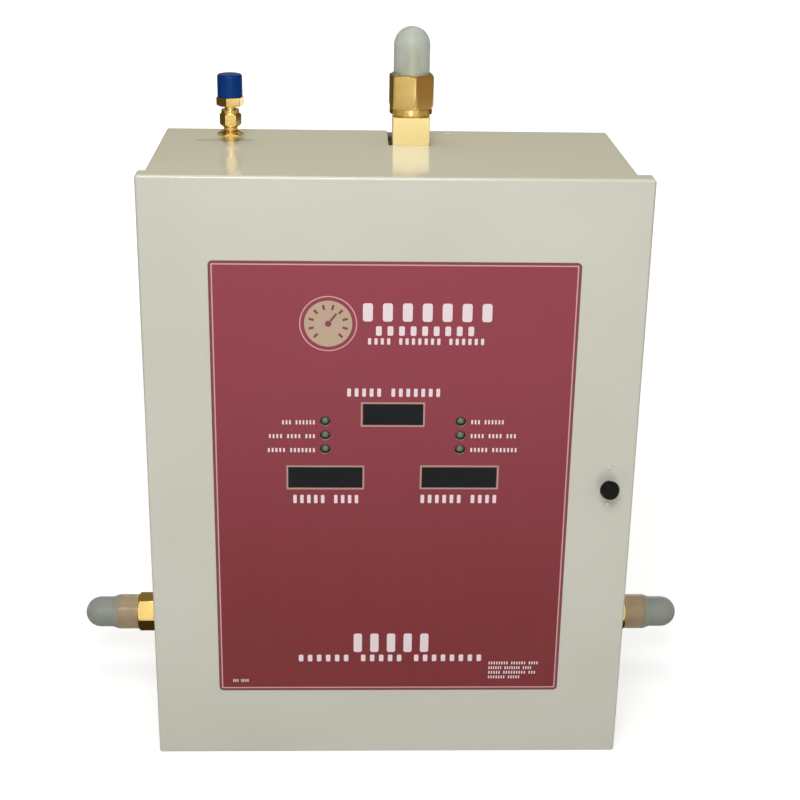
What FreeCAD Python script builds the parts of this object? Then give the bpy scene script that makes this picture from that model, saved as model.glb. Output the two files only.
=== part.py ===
import FreeCAD, Part
import math
import os

import Sketcher

# A wall-mounted oxygen manifold. A gas train on a back plate takes two banks of bottles, and a
# folded cabinet with a hinged front door covers it. X is to the right and Z is up. The wall is at
# Y = 0, and the front looks along -Y, so depths below are distances from the wall. The origin is
# the centre of the four wall bolts, on the back plate's rear face.

SIZES = {
    # Cabinet, folded from sheet
    "cabinet_width": 430.0,
    "cabinet_height": 566.0,
    "cabinet_depth": 198.0,
    "cabinet_wall": 1.5,
    "cabinet_bend": 2.0,
    "cabinet_lip": 7.5,
    "slide_gap": 0.2,
    # Back plate and its wall bolts
    "plate_wall": 2.0,
    "plate_flange": 15.0,
    "wall_bolt_span_across": 370.0,
    "wall_bolt_span_up": 510.0,
    "wall_bolt_hole": 9.0,
    "conduit_hole": 22.2,
    "conduit_left": 60.0,
    "conduit_depth": 100.0,
    # Shell screws
    "shell_screw_shank": 4.0,
    "shell_screw_head": 8.0,
    "shell_screw_crown": 2.2,
    "shell_screw_length": 8.0,
    "shell_screw_depth": 8.0,
    "shell_screw_pitch": 210.0,
    "hole_gap": 0.2,
    # Door, a folded pan that laps over the cabinet's front
    "door_pan_depth": 19.0,
    "door_lap": 2.0,
    "door_left_overhang": 5.0,
    "door_right_overhang": 10.0,
    "door_end_overhang": 3.0,
    "door_wall": 1.5,
    "door_bend": 2.5,
    # Printed overlay on the door
    "overlay_width": 325.0,
    "overlay_height": 428.0,
    "overlay_drop": 2.0,
    "overlay_wall": 0.4,
    "overlay_corner": 4.0,
    # Display windows and the modules behind them
    "bank_spread": 61.1,
    "bank_window_rise": 7.8,
    "bank_window_width": 68.0,
    "line_window_rise": 69.6,
    "line_window_width": 54.0,
    "window_height": 20.0,
    "window_gap": 0.15,
    "module_gap": 0.3,
    "module_thickness": 8.0,
    "module_margin": 1.5,
    # Indicator lamps
    "lamp_top_rise": 62.9,
    "lamp_pitch": 13.6,
    "lamp_hole": 9.5,
    "lamp_lens": 9.1,
    "lamp_rim": 1.2,
    "lamp_recess": 0.8,
    # Display board
    "display_board_wall": 1.6,
    "display_board_width": 216.0,
    "display_board_height": 108.0,
    "display_board_rise": 38.0,
    "standoff_width": 6.0,
    "standoff_inset": 7.0,
    "standoff_stud": 3.0,
    "standoff_stud_length": 4.5,
    # Door hinge
    "hinge_barrel": 4.8,
    "hinge_pin_width": 2.4,
    "hinge_leaf_wall": 1.2,
    "hinge_leaf_reach": 17.0,
    "hinge_end_gap": 12.0,
    "hinge_knuckle_gap": 0.4,
    "hinge_seat_gap": 0.1,
    "hinge_pin_gap": 0.05,
    # Latch
    "latch_inset": 23.8,
    "latch_drop": 0.3,
    "knob_width": 18.0,
    "knob_face_width": 15.2,
    "knob_hub_width": 9.0,
    "knob_hub_height": 9.0,
    "knob_proud": 15.3,
    "knob_edge": 1.2,
    "collar_width": 10.5,
    "collar_proud": 2.6,
    "knob_gap": 0.3,
    "latch_barrel": 8.0,
    "latch_shaft_width": 6.0,
    "latch_plate_width": 16.0,
    "latch_plate_height": 48.0,
    "latch_plate_wall": 2.0,
    "latch_rivet_spread": 18.3,
    "latch_rivet_width": 4.0,
    "latch_rivet_crown": 1.0,
    "cam_gap": 0.6,
    "cam_wall": 2.0,
    "cam_width": 10.0,
    "cam_reach": 11.5,
    "cam_tail": 3.0,
    "turn_gap": 0.05,
    # Gas train
    "pipe_depth": 52.0,
    "tube_width": 12.7,
    "tube_wall": 1.2,
    "tube_seat": 8.0,
    "tube_gap": 0.05,
    "tube_bend": 22.0,
    "inlet_tube_bend": 15.4,
    "tube_nut_flats": 20.6,
    "tube_nut_length": 13.0,
    "thread_relief": 1.5,
    # Bank inlets, one on each side
    "inlet_rise": 63.0,
    "inlet_notch": 30.0,
    "inlet_hex_gap": 15.0,
    "inlet_hex_flats": 34.9,
    "inlet_hex_length": 27.0,
    "inlet_thread_width": 33.2,
    "inlet_thread_length": 22.0,
    "inlet_shank": 24.0,
    "inlet_bore": 14.0,
    "inlet_seat": 12.0,
    "inlet_block_inset": 20.0,
    "inlet_block_width": 44.0,
    "inlet_block_thickness": 40.0,
    "block_edge": 1.5,
    # Regulators
    "bank_regulator_drop": 90.0,
    "line_regulator_rise": 120.0,
    "regulator_width": 60.0,
    "regulator_thickness": 36.0,
    "regulator_port_width": 24.0,
    "regulator_port_reach": 34.0,
    "regulator_flange": 8.0,
    "regulator_step": 2.0,
    "regulator_foot_bevel": 6.0,
    "bonnet_length": 46.0,
    "bonnet_flange": 6.0,
    "bonnet_step": 2.0,
    "bonnet_foot": 50.0,
    "bonnet_dome": 44.0,
    "bonnet_round": 7.0,
    "bonnet_nose": 26.0,
    "screw_width": 8.0,
    "screw_length": 42.0,
    "screw_seat": 18.0,
    "screw_head_flats": 13.0,
    "screw_head_height": 7.0,
    "screw_nut_height": 4.0,
    "screw_nut_gap": 0.3,
    # Changeover block and its solenoid valves
    "changeover_rise": 10.0,
    "changeover_width": 90.0,
    "changeover_height": 56.0,
    "changeover_thickness": 44.0,
    "solenoid_spread": 26.0,
    "solenoid_stem": 16.0,
    "solenoid_stem_length": 46.0,
    "solenoid_tip_length": 3.0,
    "solenoid_tip_step": 2.0,
    "coil_width": 34.0,
    "coil_height": 40.0,
    "coil_length": 32.0,
    "coil_start": 7.0,
    "coil_corner": 6.0,
    "coil_plug_width": 24.0,
    "coil_plug_length": 18.0,
    "coil_plug_reach": 10.0,
    "coil_nut_flats": 19.0,
    "coil_nut_height": 5.0,
    "solenoid_seat": 8.0,
    # Outlet through the cabinet's top
    "outlet_offset": 20.0,
    "outlet_block_width": 34.5,
    "outlet_block_length": 95.0,
    "outlet_block_proud": 25.5,
    "outlet_block_edge": 0.6,
    "outlet_notch": 39.2,
    "outlet_notch_shift": 1.5,
    "notch_front_gap": 0.6,
    "union_nut_flats": 38.1,
    "union_nut_height": 38.5,
    "union_nut_bore": 33.4,
    "union_nut_floor": 9.0,
    "union_nut_foot": 36.0,
    "union_nut_gap": 0.4,
    "nipple_neck": 20.0,
    "nipple_collar": 30.0,
    "nipple_collar_height": 4.0,
    "nipple_stem": 24.0,
    "nipple_nose": 16.5,
    "nipple_nose_round": 3.0,
    "nipple_taper_sink": 6.0,
    "nipple_taper_length": 9.0,
    "nipple_edge": 1.0,
    "nipple_bore": 8.0,
    "nipple_rise": 58.5,
    "nipple_seat": 12.0,
    # Dust caps of thin soft plastic
    "outlet_cap_width": 33.8,
    "side_cap_width": 31.4,
    "cap_wall": 1.3,
    "cap_length": 55.0,
    "cap_plug_depth": 12.0,
    "cap_plug_gap": 0.25,
    "cap_stretch_gap": 0.1,
    "cap_shoulder": 6.0,
    "cap_rest_gap": 0.3,
    # Pressure transducers
    "transducer_thread": 12.0,
    "transducer_seat": 8.0,
    "transducer_hex_flats": 24.0,
    "transducer_hex_length": 9.0,
    "transducer_can": 22.0,
    "transducer_length": 44.0,
    "transducer_plug_length": 8.0,
    "transducer_step": 3.0,
    "transducer_bevel": 2.0,
    # Relief valve and its vent through the cabinet's top
    "relief_drop": 43.0,
    "relief_width": 20.0,
    "relief_length": 44.0,
    "relief_flats": 22.2,
    "relief_thread": 12.0,
    "relief_hex_length": 10.0,
    "relief_step": 2.0,
    "vent_offset": 149.3,
    "vent_depth": 52.0,
    "vent_tube_width": 9.5,
    "vent_tube_bend": 18.0,
    "vent_hex_flats": 22.2,
    "vent_hex_height": 5.1,
    "vent_foot": 14.4,
    "vent_foot_height": 4.9,
    "vent_neck": 13.0,
    "vent_neck_height": 5.6,
    "vent_bore": 6.0,
    "vent_thread": 12.0,
    "vent_thread_length": 16.0,
    "vent_locknut_flats": 19.0,
    "vent_locknut_height": 6.0,
    "vent_nut_flats": 17.46,
    "vent_nut_height": 13.2,
    "vent_nut_foot": 14.0,
    "vent_nut_collar": 16.8,
    "vent_nut_collar_height": 3.0,
    "vent_stem": 10.4,
    "vent_stem_height": 3.6,
    "vent_top_hex_flats": 22.9,
    "vent_top_hex_height": 8.2,
    "vent_male_width": 20.0,
    "vent_male_length": 17.5,
    "vent_cap_width": 23.4,
    "vent_cap_length": 20.7,
    "vent_cap_round": 2.4,
    # Brackets and bolts that hold the gas train
    "bracket_wall": 2.0,
    "bracket_foot": 10.0,
    "bracket_web": 30.0,
    "bolt_width": 6.0,
    "bolt_head": 9.6,
    "bolt_crown": 6.0,
    "bolt_spread": 17.0,
    "bolt_inset": 8.0,
    "bolt_tail": 2.0,
    # Control board
    "board_inset": 75.0,
    "board_drop": 118.0,
    "board_width": 120.0,
    "board_height": 130.0,
    "board_wall": 1.6,
    "board_standoff": 12.0,
    "transformer_width": 46.0,
    "transformer_height": 40.0,
    "transformer_thickness": 34.0,
    "transformer_lip": 3.0,
    "terminal_width": 90.0,
    "terminal_height": 11.0,
    "terminal_thickness": 13.0,
    "terminal_pitch": 9.0,
    "terminal_rise": 12.0,
    "terminal_screw_sink": 4.0,
}

KNUCKLE_COUNT = 9
SHELL_SCREWS_PER_SIDE = 3

# How far round each hexagon stands, in degrees from a corner on the local X axis
SIDE_HEX_TURN = 30
OUTLET_NUT_TURN = -20.9
VENT_HEX_TURN = 7
VENT_NUT_TURN = 4
VENT_TOP_HEX_TURN = -42

# A radius just past a hexagon's corners, as a share of its width over flats
CORNER_REACH = 0.59

FRONTAL = "XZ_Plane"
LEVEL = "XY_Plane"
SIDEWAYS = "YZ_Plane"

UP = FreeCAD.Rotation()
DOWN = FreeCAD.Rotation(FreeCAD.Vector(1, 0, 0), 180)
OUT_FRONT = FreeCAD.Rotation(FreeCAD.Vector(1, 0, 0), 90)
TO_LEFT = FreeCAD.Rotation(FreeCAD.Vector(0, 1, 0), -90)
TO_RIGHT = FreeCAD.Rotation(FreeCAD.Vector(0, 1, 0), 90)


class Size:
    """A length in millimetres, together with the sheet formula that gives it."""

    def __init__(self, value, formula):
        self.value = float(value)
        self.formula = formula

    def __add__(self, other):
        other = as_size(other)
        return Size(self.value + other.value, f"({self.formula} + {other.formula})")

    def __sub__(self, other):
        other = as_size(other)
        return Size(self.value - other.value, f"({self.formula} - {other.formula})")

    def __mul__(self, factor):
        return Size(self.value * factor, f"({self.formula} * ({factor:.6f}))")

    def __truediv__(self, divisor):
        return Size(self.value / divisor, f"({self.formula} / {divisor})")

    def __neg__(self):
        return Size(-self.value, f"(-{self.formula})")

    def __radd__(self, other):
        return as_size(other) + self

    def __rsub__(self, other):
        return as_size(other) - self

    __rmul__ = __mul__


def as_size(number):
    """A plain number as a Size, and a Size as it is."""
    if isinstance(number, Size):
        return number
    return Size(number, f"({number:.6f})")


class Sheet:
    """The driving sizes, read by name as in size.door_wall."""

    def __getattr__(self, name):
        return Size(SIZES[name], f"Sizes.{name}")


size = Sheet()
doc = FreeCAD.newDocument("OxygenManifold")


def write_sheet():
    """The driving sizes as a sheet of plain numbers, each with its name as alias."""
    sheet = doc.addObject("Spreadsheet::Sheet", "Sizes")
    for row, (name, value) in enumerate(SIZES.items(), start=1):
        sheet.set(f"A{row}", name.replace("_", " "))
        sheet.set(f"B{row}", str(value))
        sheet.setAlias(f"B{row}", name)
    doc.recompute()


def bind(item, name, length):
    """Tie a property to a size's formula."""
    item.setExpression(name, as_size(length).formula)


def place(item, at, turn=UP):
    """Put an object at three bound coordinates, turned from upright."""
    item.Placement = FreeCAD.Placement(FreeCAD.Vector(*[as_size(part).value for part in at]), turn)
    for letter, part in zip("xyz", at):
        bind(item, f"Placement.Base.{letter}", part)


def new_body(label):
    body = doc.addObject("PartDesign::Body", label)
    body.Label = label
    return body


def sketch_on(body, role, offset):
    """A sketch on one of the body's own origin planes, moved along the plane's normal."""
    sketch = body.newObject("Sketcher::SketchObject", f"{body.Label}_outline")
    plane = next(item for item in body.Origin.OriginFeatures if item.Role == role)
    sketch.AttachmentSupport = [(plane, "")]
    sketch.MapMode = "FlatFace"
    bind(sketch, "AttachmentOffset.Base.z", offset)
    return sketch


def hold(sketch, kind, piece, point, length):
    """One bound distance or radius in a sketch."""
    length = as_size(length)
    if kind == "Radius":
        rule = Sketcher.Constraint(kind, piece, length.value)
    else:
        rule = Sketcher.Constraint(kind, piece, point, length.value)
    index = sketch.addConstraint(rule)
    if "Sizes." in length.formula:
        sketch.setExpression(f"Constraints[{index}]", length.formula)


def hold_point(sketch, piece, point, spot):
    hold(sketch, "DistanceX", piece, point, spot[0])
    hold(sketch, "DistanceY", piece, point, spot[1])


def arc_between(start, end, radius, turn):
    """The short arc from start to end. turn is 1 for anticlockwise and -1 for clockwise."""
    chord = end - start
    middle = (start + end) * 0.5
    rise = math.sqrt(max(radius ** 2 - (chord.Length / 2) ** 2, 0.0))
    normal = FreeCAD.Vector(-chord.y, chord.x, 0).normalize()
    centre = middle + normal * (rise * turn)
    circle = Part.Circle(centre, FreeCAD.Vector(0, 0, 1), radius)
    first, last = (start, end) if turn > 0 else (end, start)
    return Part.ArcOfCircle(circle, circle.parameter(first), circle.parameter(last))


def draw_path(sketch, spots, closed=True):
    """Straight and round sides through the spots. A spot is (across, up), or for a round side
    that ends there (across, up, radius, turn)."""
    spots = [tuple(as_size(part) for part in spot[:3]) + tuple(spot[3:]) for spot in spots]
    corners = [FreeCAD.Vector(spot[0].value, spot[1].value, 0) for spot in spots]
    count = len(spots) if closed else len(spots) - 1
    base = sketch.GeometryCount
    ends = []
    for index in range(count):
        target = spots[(index + 1) % len(spots)]
        start, end = corners[index], corners[(index + 1) % len(spots)]
        if len(target) == 4:
            sketch.addGeometry(arc_between(start, end, target[2].value, target[3]), False)
            ends.append((1, 2) if target[3] > 0 else (2, 1))
        else:
            sketch.addGeometry(Part.LineSegment(start, end), False)
            ends.append((1, 2))
    joined = count if closed else count - 1
    for index in range(joined):
        following = (index + 1) % count
        joint = Sketcher.Constraint("Coincident", base + index, ends[index][1],
                                    base + following, ends[following][0])
        sketch.addConstraint(joint)
    for index in range(count):
        hold_point(sketch, base + index, ends[index][0], spots[index])
        target = spots[(index + 1) % len(spots)]
        if len(target) == 4:
            hold(sketch, "Radius", base + index, 0, target[2])
    if not closed:
        hold_point(sketch, base + count - 1, ends[-1][1], spots[-1])


def rectangle(sketch, left, low, right, high):
    draw_path(sketch, [(left, low), (right, low), (right, high), (left, high)])


def rounded_rectangle(sketch, left, low, right, high, corner):
    draw_path(sketch, [
        (left + corner, low, corner, 1),
        (right - corner, low),
        (right, low + corner, corner, 1),
        (right, high - corner),
        (right - corner, high, corner, 1),
        (left + corner, high),
        (left, high - corner, corner, 1),
        (left, low + corner),
    ])


def circle(sketch, across, up, width):
    """A circle by its centre and its full width."""
    across, up, radius = as_size(across), as_size(up), as_size(width) / 2
    centre = FreeCAD.Vector(across.value, up.value, 0)
    piece = sketch.addGeometry(Part.Circle(centre, FreeCAD.Vector(0, 0, 1), radius.value), False)
    hold_point(sketch, piece, 3, (across, up))
    hold(sketch, "Radius", piece, 0, radius)


def ring(sketch, across, up, outer, inner):
    circle(sketch, across, up, outer)
    circle(sketch, across, up, inner)


def hexagon(sketch, flats, turn, across=0, up=0):
    """A regular hexagon by its width over flats, with a corner at the angle turn."""
    spots = []
    for corner in range(6):
        angle = math.radians(turn + 60 * corner)
        reach = 1 / math.sqrt(3)
        spots.append((across + flats * (reach * math.cos(angle)), up + flats * (reach * math.sin(angle))))
    draw_path(sketch, spots)


def add(body, role, low, high, draw, *shape):
    """Add the drawn shape from low to high along the plane's normal."""
    sketch = sketch_on(body, role, low)
    draw(sketch, *shape)
    feature = body.newObject("PartDesign::Pad", f"{body.Label}_pad")
    feature.Profile = sketch
    bind(feature, "Length", as_size(high) - low)
    return feature


def cut(body, role, low, high, draw, *shape):
    """Cut the drawn shape away from low to high along the plane's normal."""
    sketch = sketch_on(body, role, high)
    draw(sketch, *shape)
    feature = body.newObject("PartDesign::Pocket", f"{body.Label}_pocket")
    feature.Profile = sketch
    bind(feature, "Length", as_size(high) - low)
    return feature


def turn_about_axis(body, kind, spots):
    """Turn a half outline of (radius, height) spots about the upright axis."""
    sketch = sketch_on(body, FRONTAL, 0)
    draw_path(sketch, spots)
    feature = body.newObject(f"PartDesign::{kind}", f"{body.Label}_{kind.lower()}")
    feature.Profile = sketch
    feature.ReferenceAxis = (sketch, ["V_Axis"])
    feature.Angle = 360
    return feature


def turned(label, spots, at, turn=UP):
    """A body turned on a lathe, standing at a place and pointing where turn says."""
    body = new_body(label)
    turn_about_axis(body, "Revolution", spots)
    place(body, at, turn)
    return body


def bevel(body, edge, inner, flats, rise):
    """Turn the corners of a hexagon away outside a cone that starts at radius inner."""
    outer = flats * CORNER_REACH
    spots = [(inner, edge), (outer, edge), (outer, edge + rise)]
    if as_size(rise).value < 0:
        spots = [(inner, edge), (outer, edge + rise), (outer, edge)]
    turn_about_axis(body, "Groove", spots)


def add_hexagon(body, low, high, flats, turn, bevel_low=True, bevel_high=True):
    """A length of hexagon bar on a turned body, with its corners bevelled at 30 degrees."""
    low, high, flats = as_size(low), as_size(high), as_size(flats)
    add(body, LEVEL, low, high, hexagon, flats, turn)
    rise = flats * 0.1 * math.tan(math.radians(30))
    if bevel_low:
        bevel(body, low, flats * 0.49, flats, rise)
    if bevel_high:
        bevel(body, high, flats * 0.49, flats, -rise)


def soften(body, feature, radius, wanted, kind="Fillet"):
    """Round the edges of the last feature for which wanted(edge) is true."""
    doc.recompute()
    names = [f"Edge{number}" for number, edge in enumerate(feature.Shape.Edges, start=1) if wanted(edge)]
    rounding = body.newObject(f"PartDesign::{kind}", f"{body.Label}_{kind.lower()}")
    rounding.Base = (feature, names)
    bind(rounding, "Radius", radius)
    return rounding


def near(number, target):
    return abs(number - target.value) < 0.01


def bent_tube(label, path, outer, wall, depth):
    """A tube along a path of (across, up) spots in one upright plane, starting straight up."""
    body = new_body(label)
    spine = sketch_on(body, FRONTAL, depth)
    draw_path(spine, path, closed=False)
    start = sketch_on(body, LEVEL, path[0][1])
    ring(start, path[0][0], -depth, outer, outer - wall * 2)
    doc.recompute()
    pipe = body.newObject("PartDesign::AdditivePipe", f"{label}_pipe")
    pipe.Profile = start
    pipe.Spine = (spine, [])
    return body


def group(label, pieces):
    """Several separate solids in one file."""
    compound = doc.addObject("Part::Compound", label)
    compound.Label = label
    compound.Links = pieces
    return compound


def copies(body, spots):
    """One linked copy of the body at each (place, turn)."""
    links = []
    for number, (at, turn) in enumerate(spots, start=1):
        link = doc.addObject("App::Link", f"{body.Label}_{number}")
        link.LinkedObject = body
        place(link, at, turn)
        links.append(link)
    return links


# Planes and edges that several pieces share
half_width = size.cabinet_width / 2
half_height = size.cabinet_height / 2
door_back = size.cabinet_depth - size.door_lap
door_front = door_back + size.door_pan_depth
door_inside = door_front - size.door_wall
door_left = -half_width - size.door_left_overhang
door_right = half_width + size.door_right_overhang
door_centre = (door_left + door_right) / 2
door_low = -half_height - size.door_end_overhang
door_high = half_height + size.door_end_overhang
notch_depth = size.pipe_depth + size.outlet_block_width / 2 + size.notch_front_gap
inlet_height = size.inlet_rise - half_height
latch_across = door_right - size.latch_inset
latch_height = -size.latch_drop
hinge_across = -half_width - size.hinge_seat_gap - size.hinge_barrel / 2
hinge_depth = door_back - size.hinge_barrel / 2 - size.hinge_knuckle_gap
block_top = half_height + size.outlet_block_proud
block_bottom = block_top - size.outlet_block_length
relief_height = half_height - size.relief_drop


def window_spots():
    """Centre across, centre height and width of each display window."""
    return [
        (door_centre, size.line_window_rise, size.line_window_width),
        (door_centre - size.bank_spread, size.bank_window_rise, size.bank_window_width),
        (door_centre + size.bank_spread, size.bank_window_rise, size.bank_window_width),
    ]


def lamp_spots(row):
    """Centres of the two lamps in one row, counted from the top."""
    height = size.lamp_top_rise - size.lamp_pitch * row
    return [(door_centre - size.bank_spread, height), (door_centre + size.bank_spread, height)]


def cut_panel_openings(body, low, high, window_margin, lamp_width):
    """The window, lamp and latch openings that door and overlay share."""
    for across, height, width in window_spots():
        cut(body, FRONTAL, low, high, rectangle,
            across - width / 2 - window_margin, height - size.window_height / 2 - window_margin,
            across + width / 2 + window_margin, height + size.window_height / 2 + window_margin)
    for row in range(3):
        for across, height in lamp_spots(row):
            cut(body, FRONTAL, low, high, circle, across, height, lamp_width)


def make_back_plate():
    body = new_body("back_plate")
    side = half_width - size.cabinet_wall - size.slide_gap
    end = half_height - size.cabinet_wall - size.slide_gap
    add(body, FRONTAL, 0, size.plate_flange, rectangle, -side, -end, side, end)
    cut(body, FRONTAL, size.plate_wall, size.plate_flange, rectangle,
        -side + size.plate_wall, -end + size.plate_wall, side - size.plate_wall, end - size.plate_wall)
    for across in (-1, 1):
        for up in (-1, 1):
            cut(body, FRONTAL, 0, size.plate_wall, circle,
                size.wall_bolt_span_across * (across / 2), size.wall_bolt_span_up * (up / 2),
                size.wall_bolt_hole)
    for height in shell_screw_heights():
        cut(body, SIDEWAYS, -side, side, circle, -size.shell_screw_depth, height,
            size.shell_screw_shank + size.hole_gap)
    return body


def shell_screw_heights():
    middle = (SHELL_SCREWS_PER_SIDE - 1) / 2
    return [size.shell_screw_pitch * (number - middle) for number in range(SHELL_SCREWS_PER_SIDE)]


def make_cabinet_shell():
    """Wrapper that slides over the gas train: its notches are open at the rear edge."""
    body = new_body("cabinet_shell")
    wall = size.cabinet_wall
    depth = size.cabinet_depth
    outside = add(body, FRONTAL, 0, depth, rectangle, -half_width, -half_height, half_width, half_height)
    soften(body, outside, size.cabinet_bend, lambda edge: edge.BoundBox.YLength > 1)
    cut(body, FRONTAL, 0, depth - wall, rectangle,
        -half_width + wall, -half_height + wall, half_width - wall, half_height - wall)
    cut(body, FRONTAL, depth - wall, depth, rectangle,
        -half_width + size.cabinet_lip, -half_height + size.cabinet_lip,
        half_width - size.cabinet_lip, half_height - size.cabinet_lip)
    notch_centre = size.outlet_offset - size.outlet_notch_shift
    cut(body, LEVEL, half_height - wall, half_height, rectangle,
        notch_centre - size.outlet_notch / 2, -notch_depth, notch_centre + size.outlet_notch / 2, 0)
    cut(body, SIDEWAYS, -half_width, half_width, rectangle,
        -notch_depth, inlet_height - size.inlet_notch / 2, 0, inlet_height + size.inlet_notch / 2)
    cut(body, LEVEL, half_height - wall, half_height, circle,
        -size.vent_offset, -size.vent_depth, size.vent_thread + size.hole_gap * 2)
    cut(body, LEVEL, -half_height, -half_height + wall, circle,
        -size.conduit_left, -size.conduit_depth, size.conduit_hole)
    for height in shell_screw_heights():
        cut(body, SIDEWAYS, -half_width, half_width, circle, -size.shell_screw_depth, height,
            size.shell_screw_shank + size.hole_gap)
    return body


def make_shell_screws():
    head = size.shell_screw_head / 2
    crown = size.shell_screw_crown
    screw = turned("shell_screw", [
        (0, -size.shell_screw_length),
        (size.shell_screw_shank / 2, -size.shell_screw_length),
        (size.shell_screw_shank / 2, 0),
        (head, 0),
        (head, crown * 0.4),
        (head * 0.6, crown),
        (0, crown),
    ], (0, 0, 0))
    spots = []
    for height in shell_screw_heights():
        spots.append(((-half_width, -size.shell_screw_depth, height), TO_LEFT))
        spots.append(((half_width, -size.shell_screw_depth, height), TO_RIGHT))
    return group("shell_screws", copies(screw, spots))


def make_door_panel():
    body = new_body("door_panel")
    outside = add(body, FRONTAL, door_back, door_front, rectangle, door_left, door_low, door_right, door_high)
    soften(body, outside, size.door_bend,
           lambda edge: edge.BoundBox.YLength > 1 or near(edge.BoundBox.YMax, -door_front))
    wall = size.door_wall
    cut(body, FRONTAL, door_back, door_inside, rectangle,
        door_left + wall, door_low + wall, door_right - wall, door_high - wall)
    cut_panel_openings(body, door_inside, door_front, size.window_gap, size.lamp_hole)
    cut(body, FRONTAL, door_inside, door_front, circle, latch_across, latch_height,
        size.latch_barrel + size.hole_gap)
    for up in (-1, 1):
        cut(body, FRONTAL, door_inside, door_front, circle, latch_across,
            latch_height + size.latch_rivet_spread * up, size.latch_rivet_width + size.hole_gap)
    return body


def make_label_overlay():
    body = new_body("label_overlay")
    across, up = size.overlay_width / 2, size.overlay_height / 2
    front = door_front + size.overlay_wall
    sheet = add(body, FRONTAL, door_front, front, rectangle,
                door_centre - across, -size.overlay_drop - up, door_centre + across, -size.overlay_drop + up)
    soften(body, sheet, size.overlay_corner, lambda edge: edge.BoundBox.YLength > 0.01)
    cut_panel_openings(body, door_front, front, as_size(0), size.lamp_hole)
    return body


def make_display_windows():
    panes = []
    for name, (across, height, width) in zip(("line", "left", "right"), window_spots()):
        pane = new_body(f"{name}_window")
        add(pane, FRONTAL, door_inside, door_front, rectangle,
            across - width / 2, height - size.window_height / 2,
            across + width / 2, height + size.window_height / 2)
        panes.append(pane)
    return group("display_windows", panes)


board_front = door_inside - size.module_gap - size.module_thickness
board_back = board_front - size.display_board_wall


def standoff_spots():
    across = size.display_board_width / 2 - size.standoff_inset
    up = size.display_board_height / 2 - size.standoff_inset
    return [(door_centre + across * side, size.display_board_rise + up * end)
            for side in (-1, 1) for end in (-1, 1)]


def make_display_board():
    body = new_body("display_board")
    across, up = size.display_board_width / 2, size.display_board_height / 2
    rise = size.display_board_rise
    add(body, FRONTAL, board_back, board_front, rectangle,
        door_centre - across, rise - up, door_centre + across, rise + up)
    for across, height in standoff_spots():
        cut(body, FRONTAL, board_back, board_front, circle, across, height,
            size.standoff_stud + size.hole_gap)
    return body


def make_display_modules():
    modules = []
    for name, (across, height, width) in zip(("line", "left", "right"), window_spots()):
        module = new_body(f"{name}_module")
        reach = width / 2 - size.module_margin
        rise = size.window_height / 2 - size.module_margin / 2
        add(module, FRONTAL, board_front, board_front + size.module_thickness, rectangle,
            across - reach, height - rise, across + reach, height + rise)
        modules.append(module)
    return group("display_modules", modules)


def make_lamps(label, row):
    """Two round lamps on the display board, each domed just behind its hole in the door."""
    height = door_front - size.lamp_recess - board_front
    radius, rim = size.lamp_lens / 2, size.lamp_rim
    lamp = turned(f"{label}_model", [
        (0, 0),
        (radius + rim / 2, 0),
        (radius + rim / 2, rim),
        (radius, rim),
        (radius, height - radius),
        (0, height, radius, 1),
    ], (0, 0, 0))
    spots = [((across, -board_front, up), OUT_FRONT) for across, up in lamp_spots(row)]
    return group(label, copies(lamp, spots))


def make_display_standoffs():
    """Studs welded to the door's inner face, with a threaded end through the board."""
    tall = size.module_gap + size.module_thickness
    stud = turned("display_standoff", [
        (0, 0),
        (size.standoff_width / 2, 0),
        (size.standoff_width / 2, tall),
        (size.standoff_stud / 2, tall),
        (size.standoff_stud / 2, tall + size.standoff_stud_length),
        (0, tall + size.standoff_stud_length),
    ], (0, 0, 0))
    turn = FreeCAD.Rotation(FreeCAD.Vector(1, 0, 0), -90)
    spots = [((across, -door_inside, up), turn) for across, up in standoff_spots()]
    return group("display_standoffs", copies(stud, spots))


hinge_length = size.cabinet_height - size.hinge_end_gap * 2
knuckle_pitch = hinge_length / KNUCKLE_COUNT


def hinge_leaf(label, first, left, right, near_depth, far_depth):
    """A leaf with every second knuckle, starting at knuckle number first."""
    body = new_body(label)
    low = -hinge_length / 2
    add(body, LEVEL, low, low + hinge_length, rectangle, left, -far_depth, right, -near_depth)
    add(body, LEVEL, low, low + hinge_length, circle, hinge_across, -hinge_depth, size.hinge_barrel)
    reach = size.hinge_barrel / 2 + size.hinge_knuckle_gap / 2
    for number in range(KNUCKLE_COUNT):
        if number % 2 == first:
            continue
        start = low + knuckle_pitch * number - size.hinge_knuckle_gap / 2
        end = low + knuckle_pitch * (number + 1) + size.hinge_knuckle_gap / 2
        cut(body, LEVEL, start, end, rectangle,
            hinge_across - reach, -hinge_depth - reach, hinge_across + reach, -hinge_depth + reach)
    cut(body, LEVEL, low, low + hinge_length, circle, hinge_across, -hinge_depth,
        size.hinge_pin_width + size.hinge_pin_gap * 2)
    return body


def make_hinge():
    wall = size.hinge_leaf_wall
    outer = -half_width - size.hinge_seat_gap
    hinge_leaf("hinge_box_leaf", 0, outer - wall, outer, hinge_depth - size.hinge_leaf_reach, hinge_depth)
    door_seat = door_left + size.door_wall
    hinge_leaf("hinge_door_leaf", 1, door_seat, door_seat + wall,
               hinge_depth, door_inside - size.hinge_seat_gap)
    pin = new_body("hinge_pin")
    low = -hinge_length / 2
    add(pin, LEVEL, low, low + hinge_length, circle, hinge_across, -hinge_depth, size.hinge_pin_width)


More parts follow.
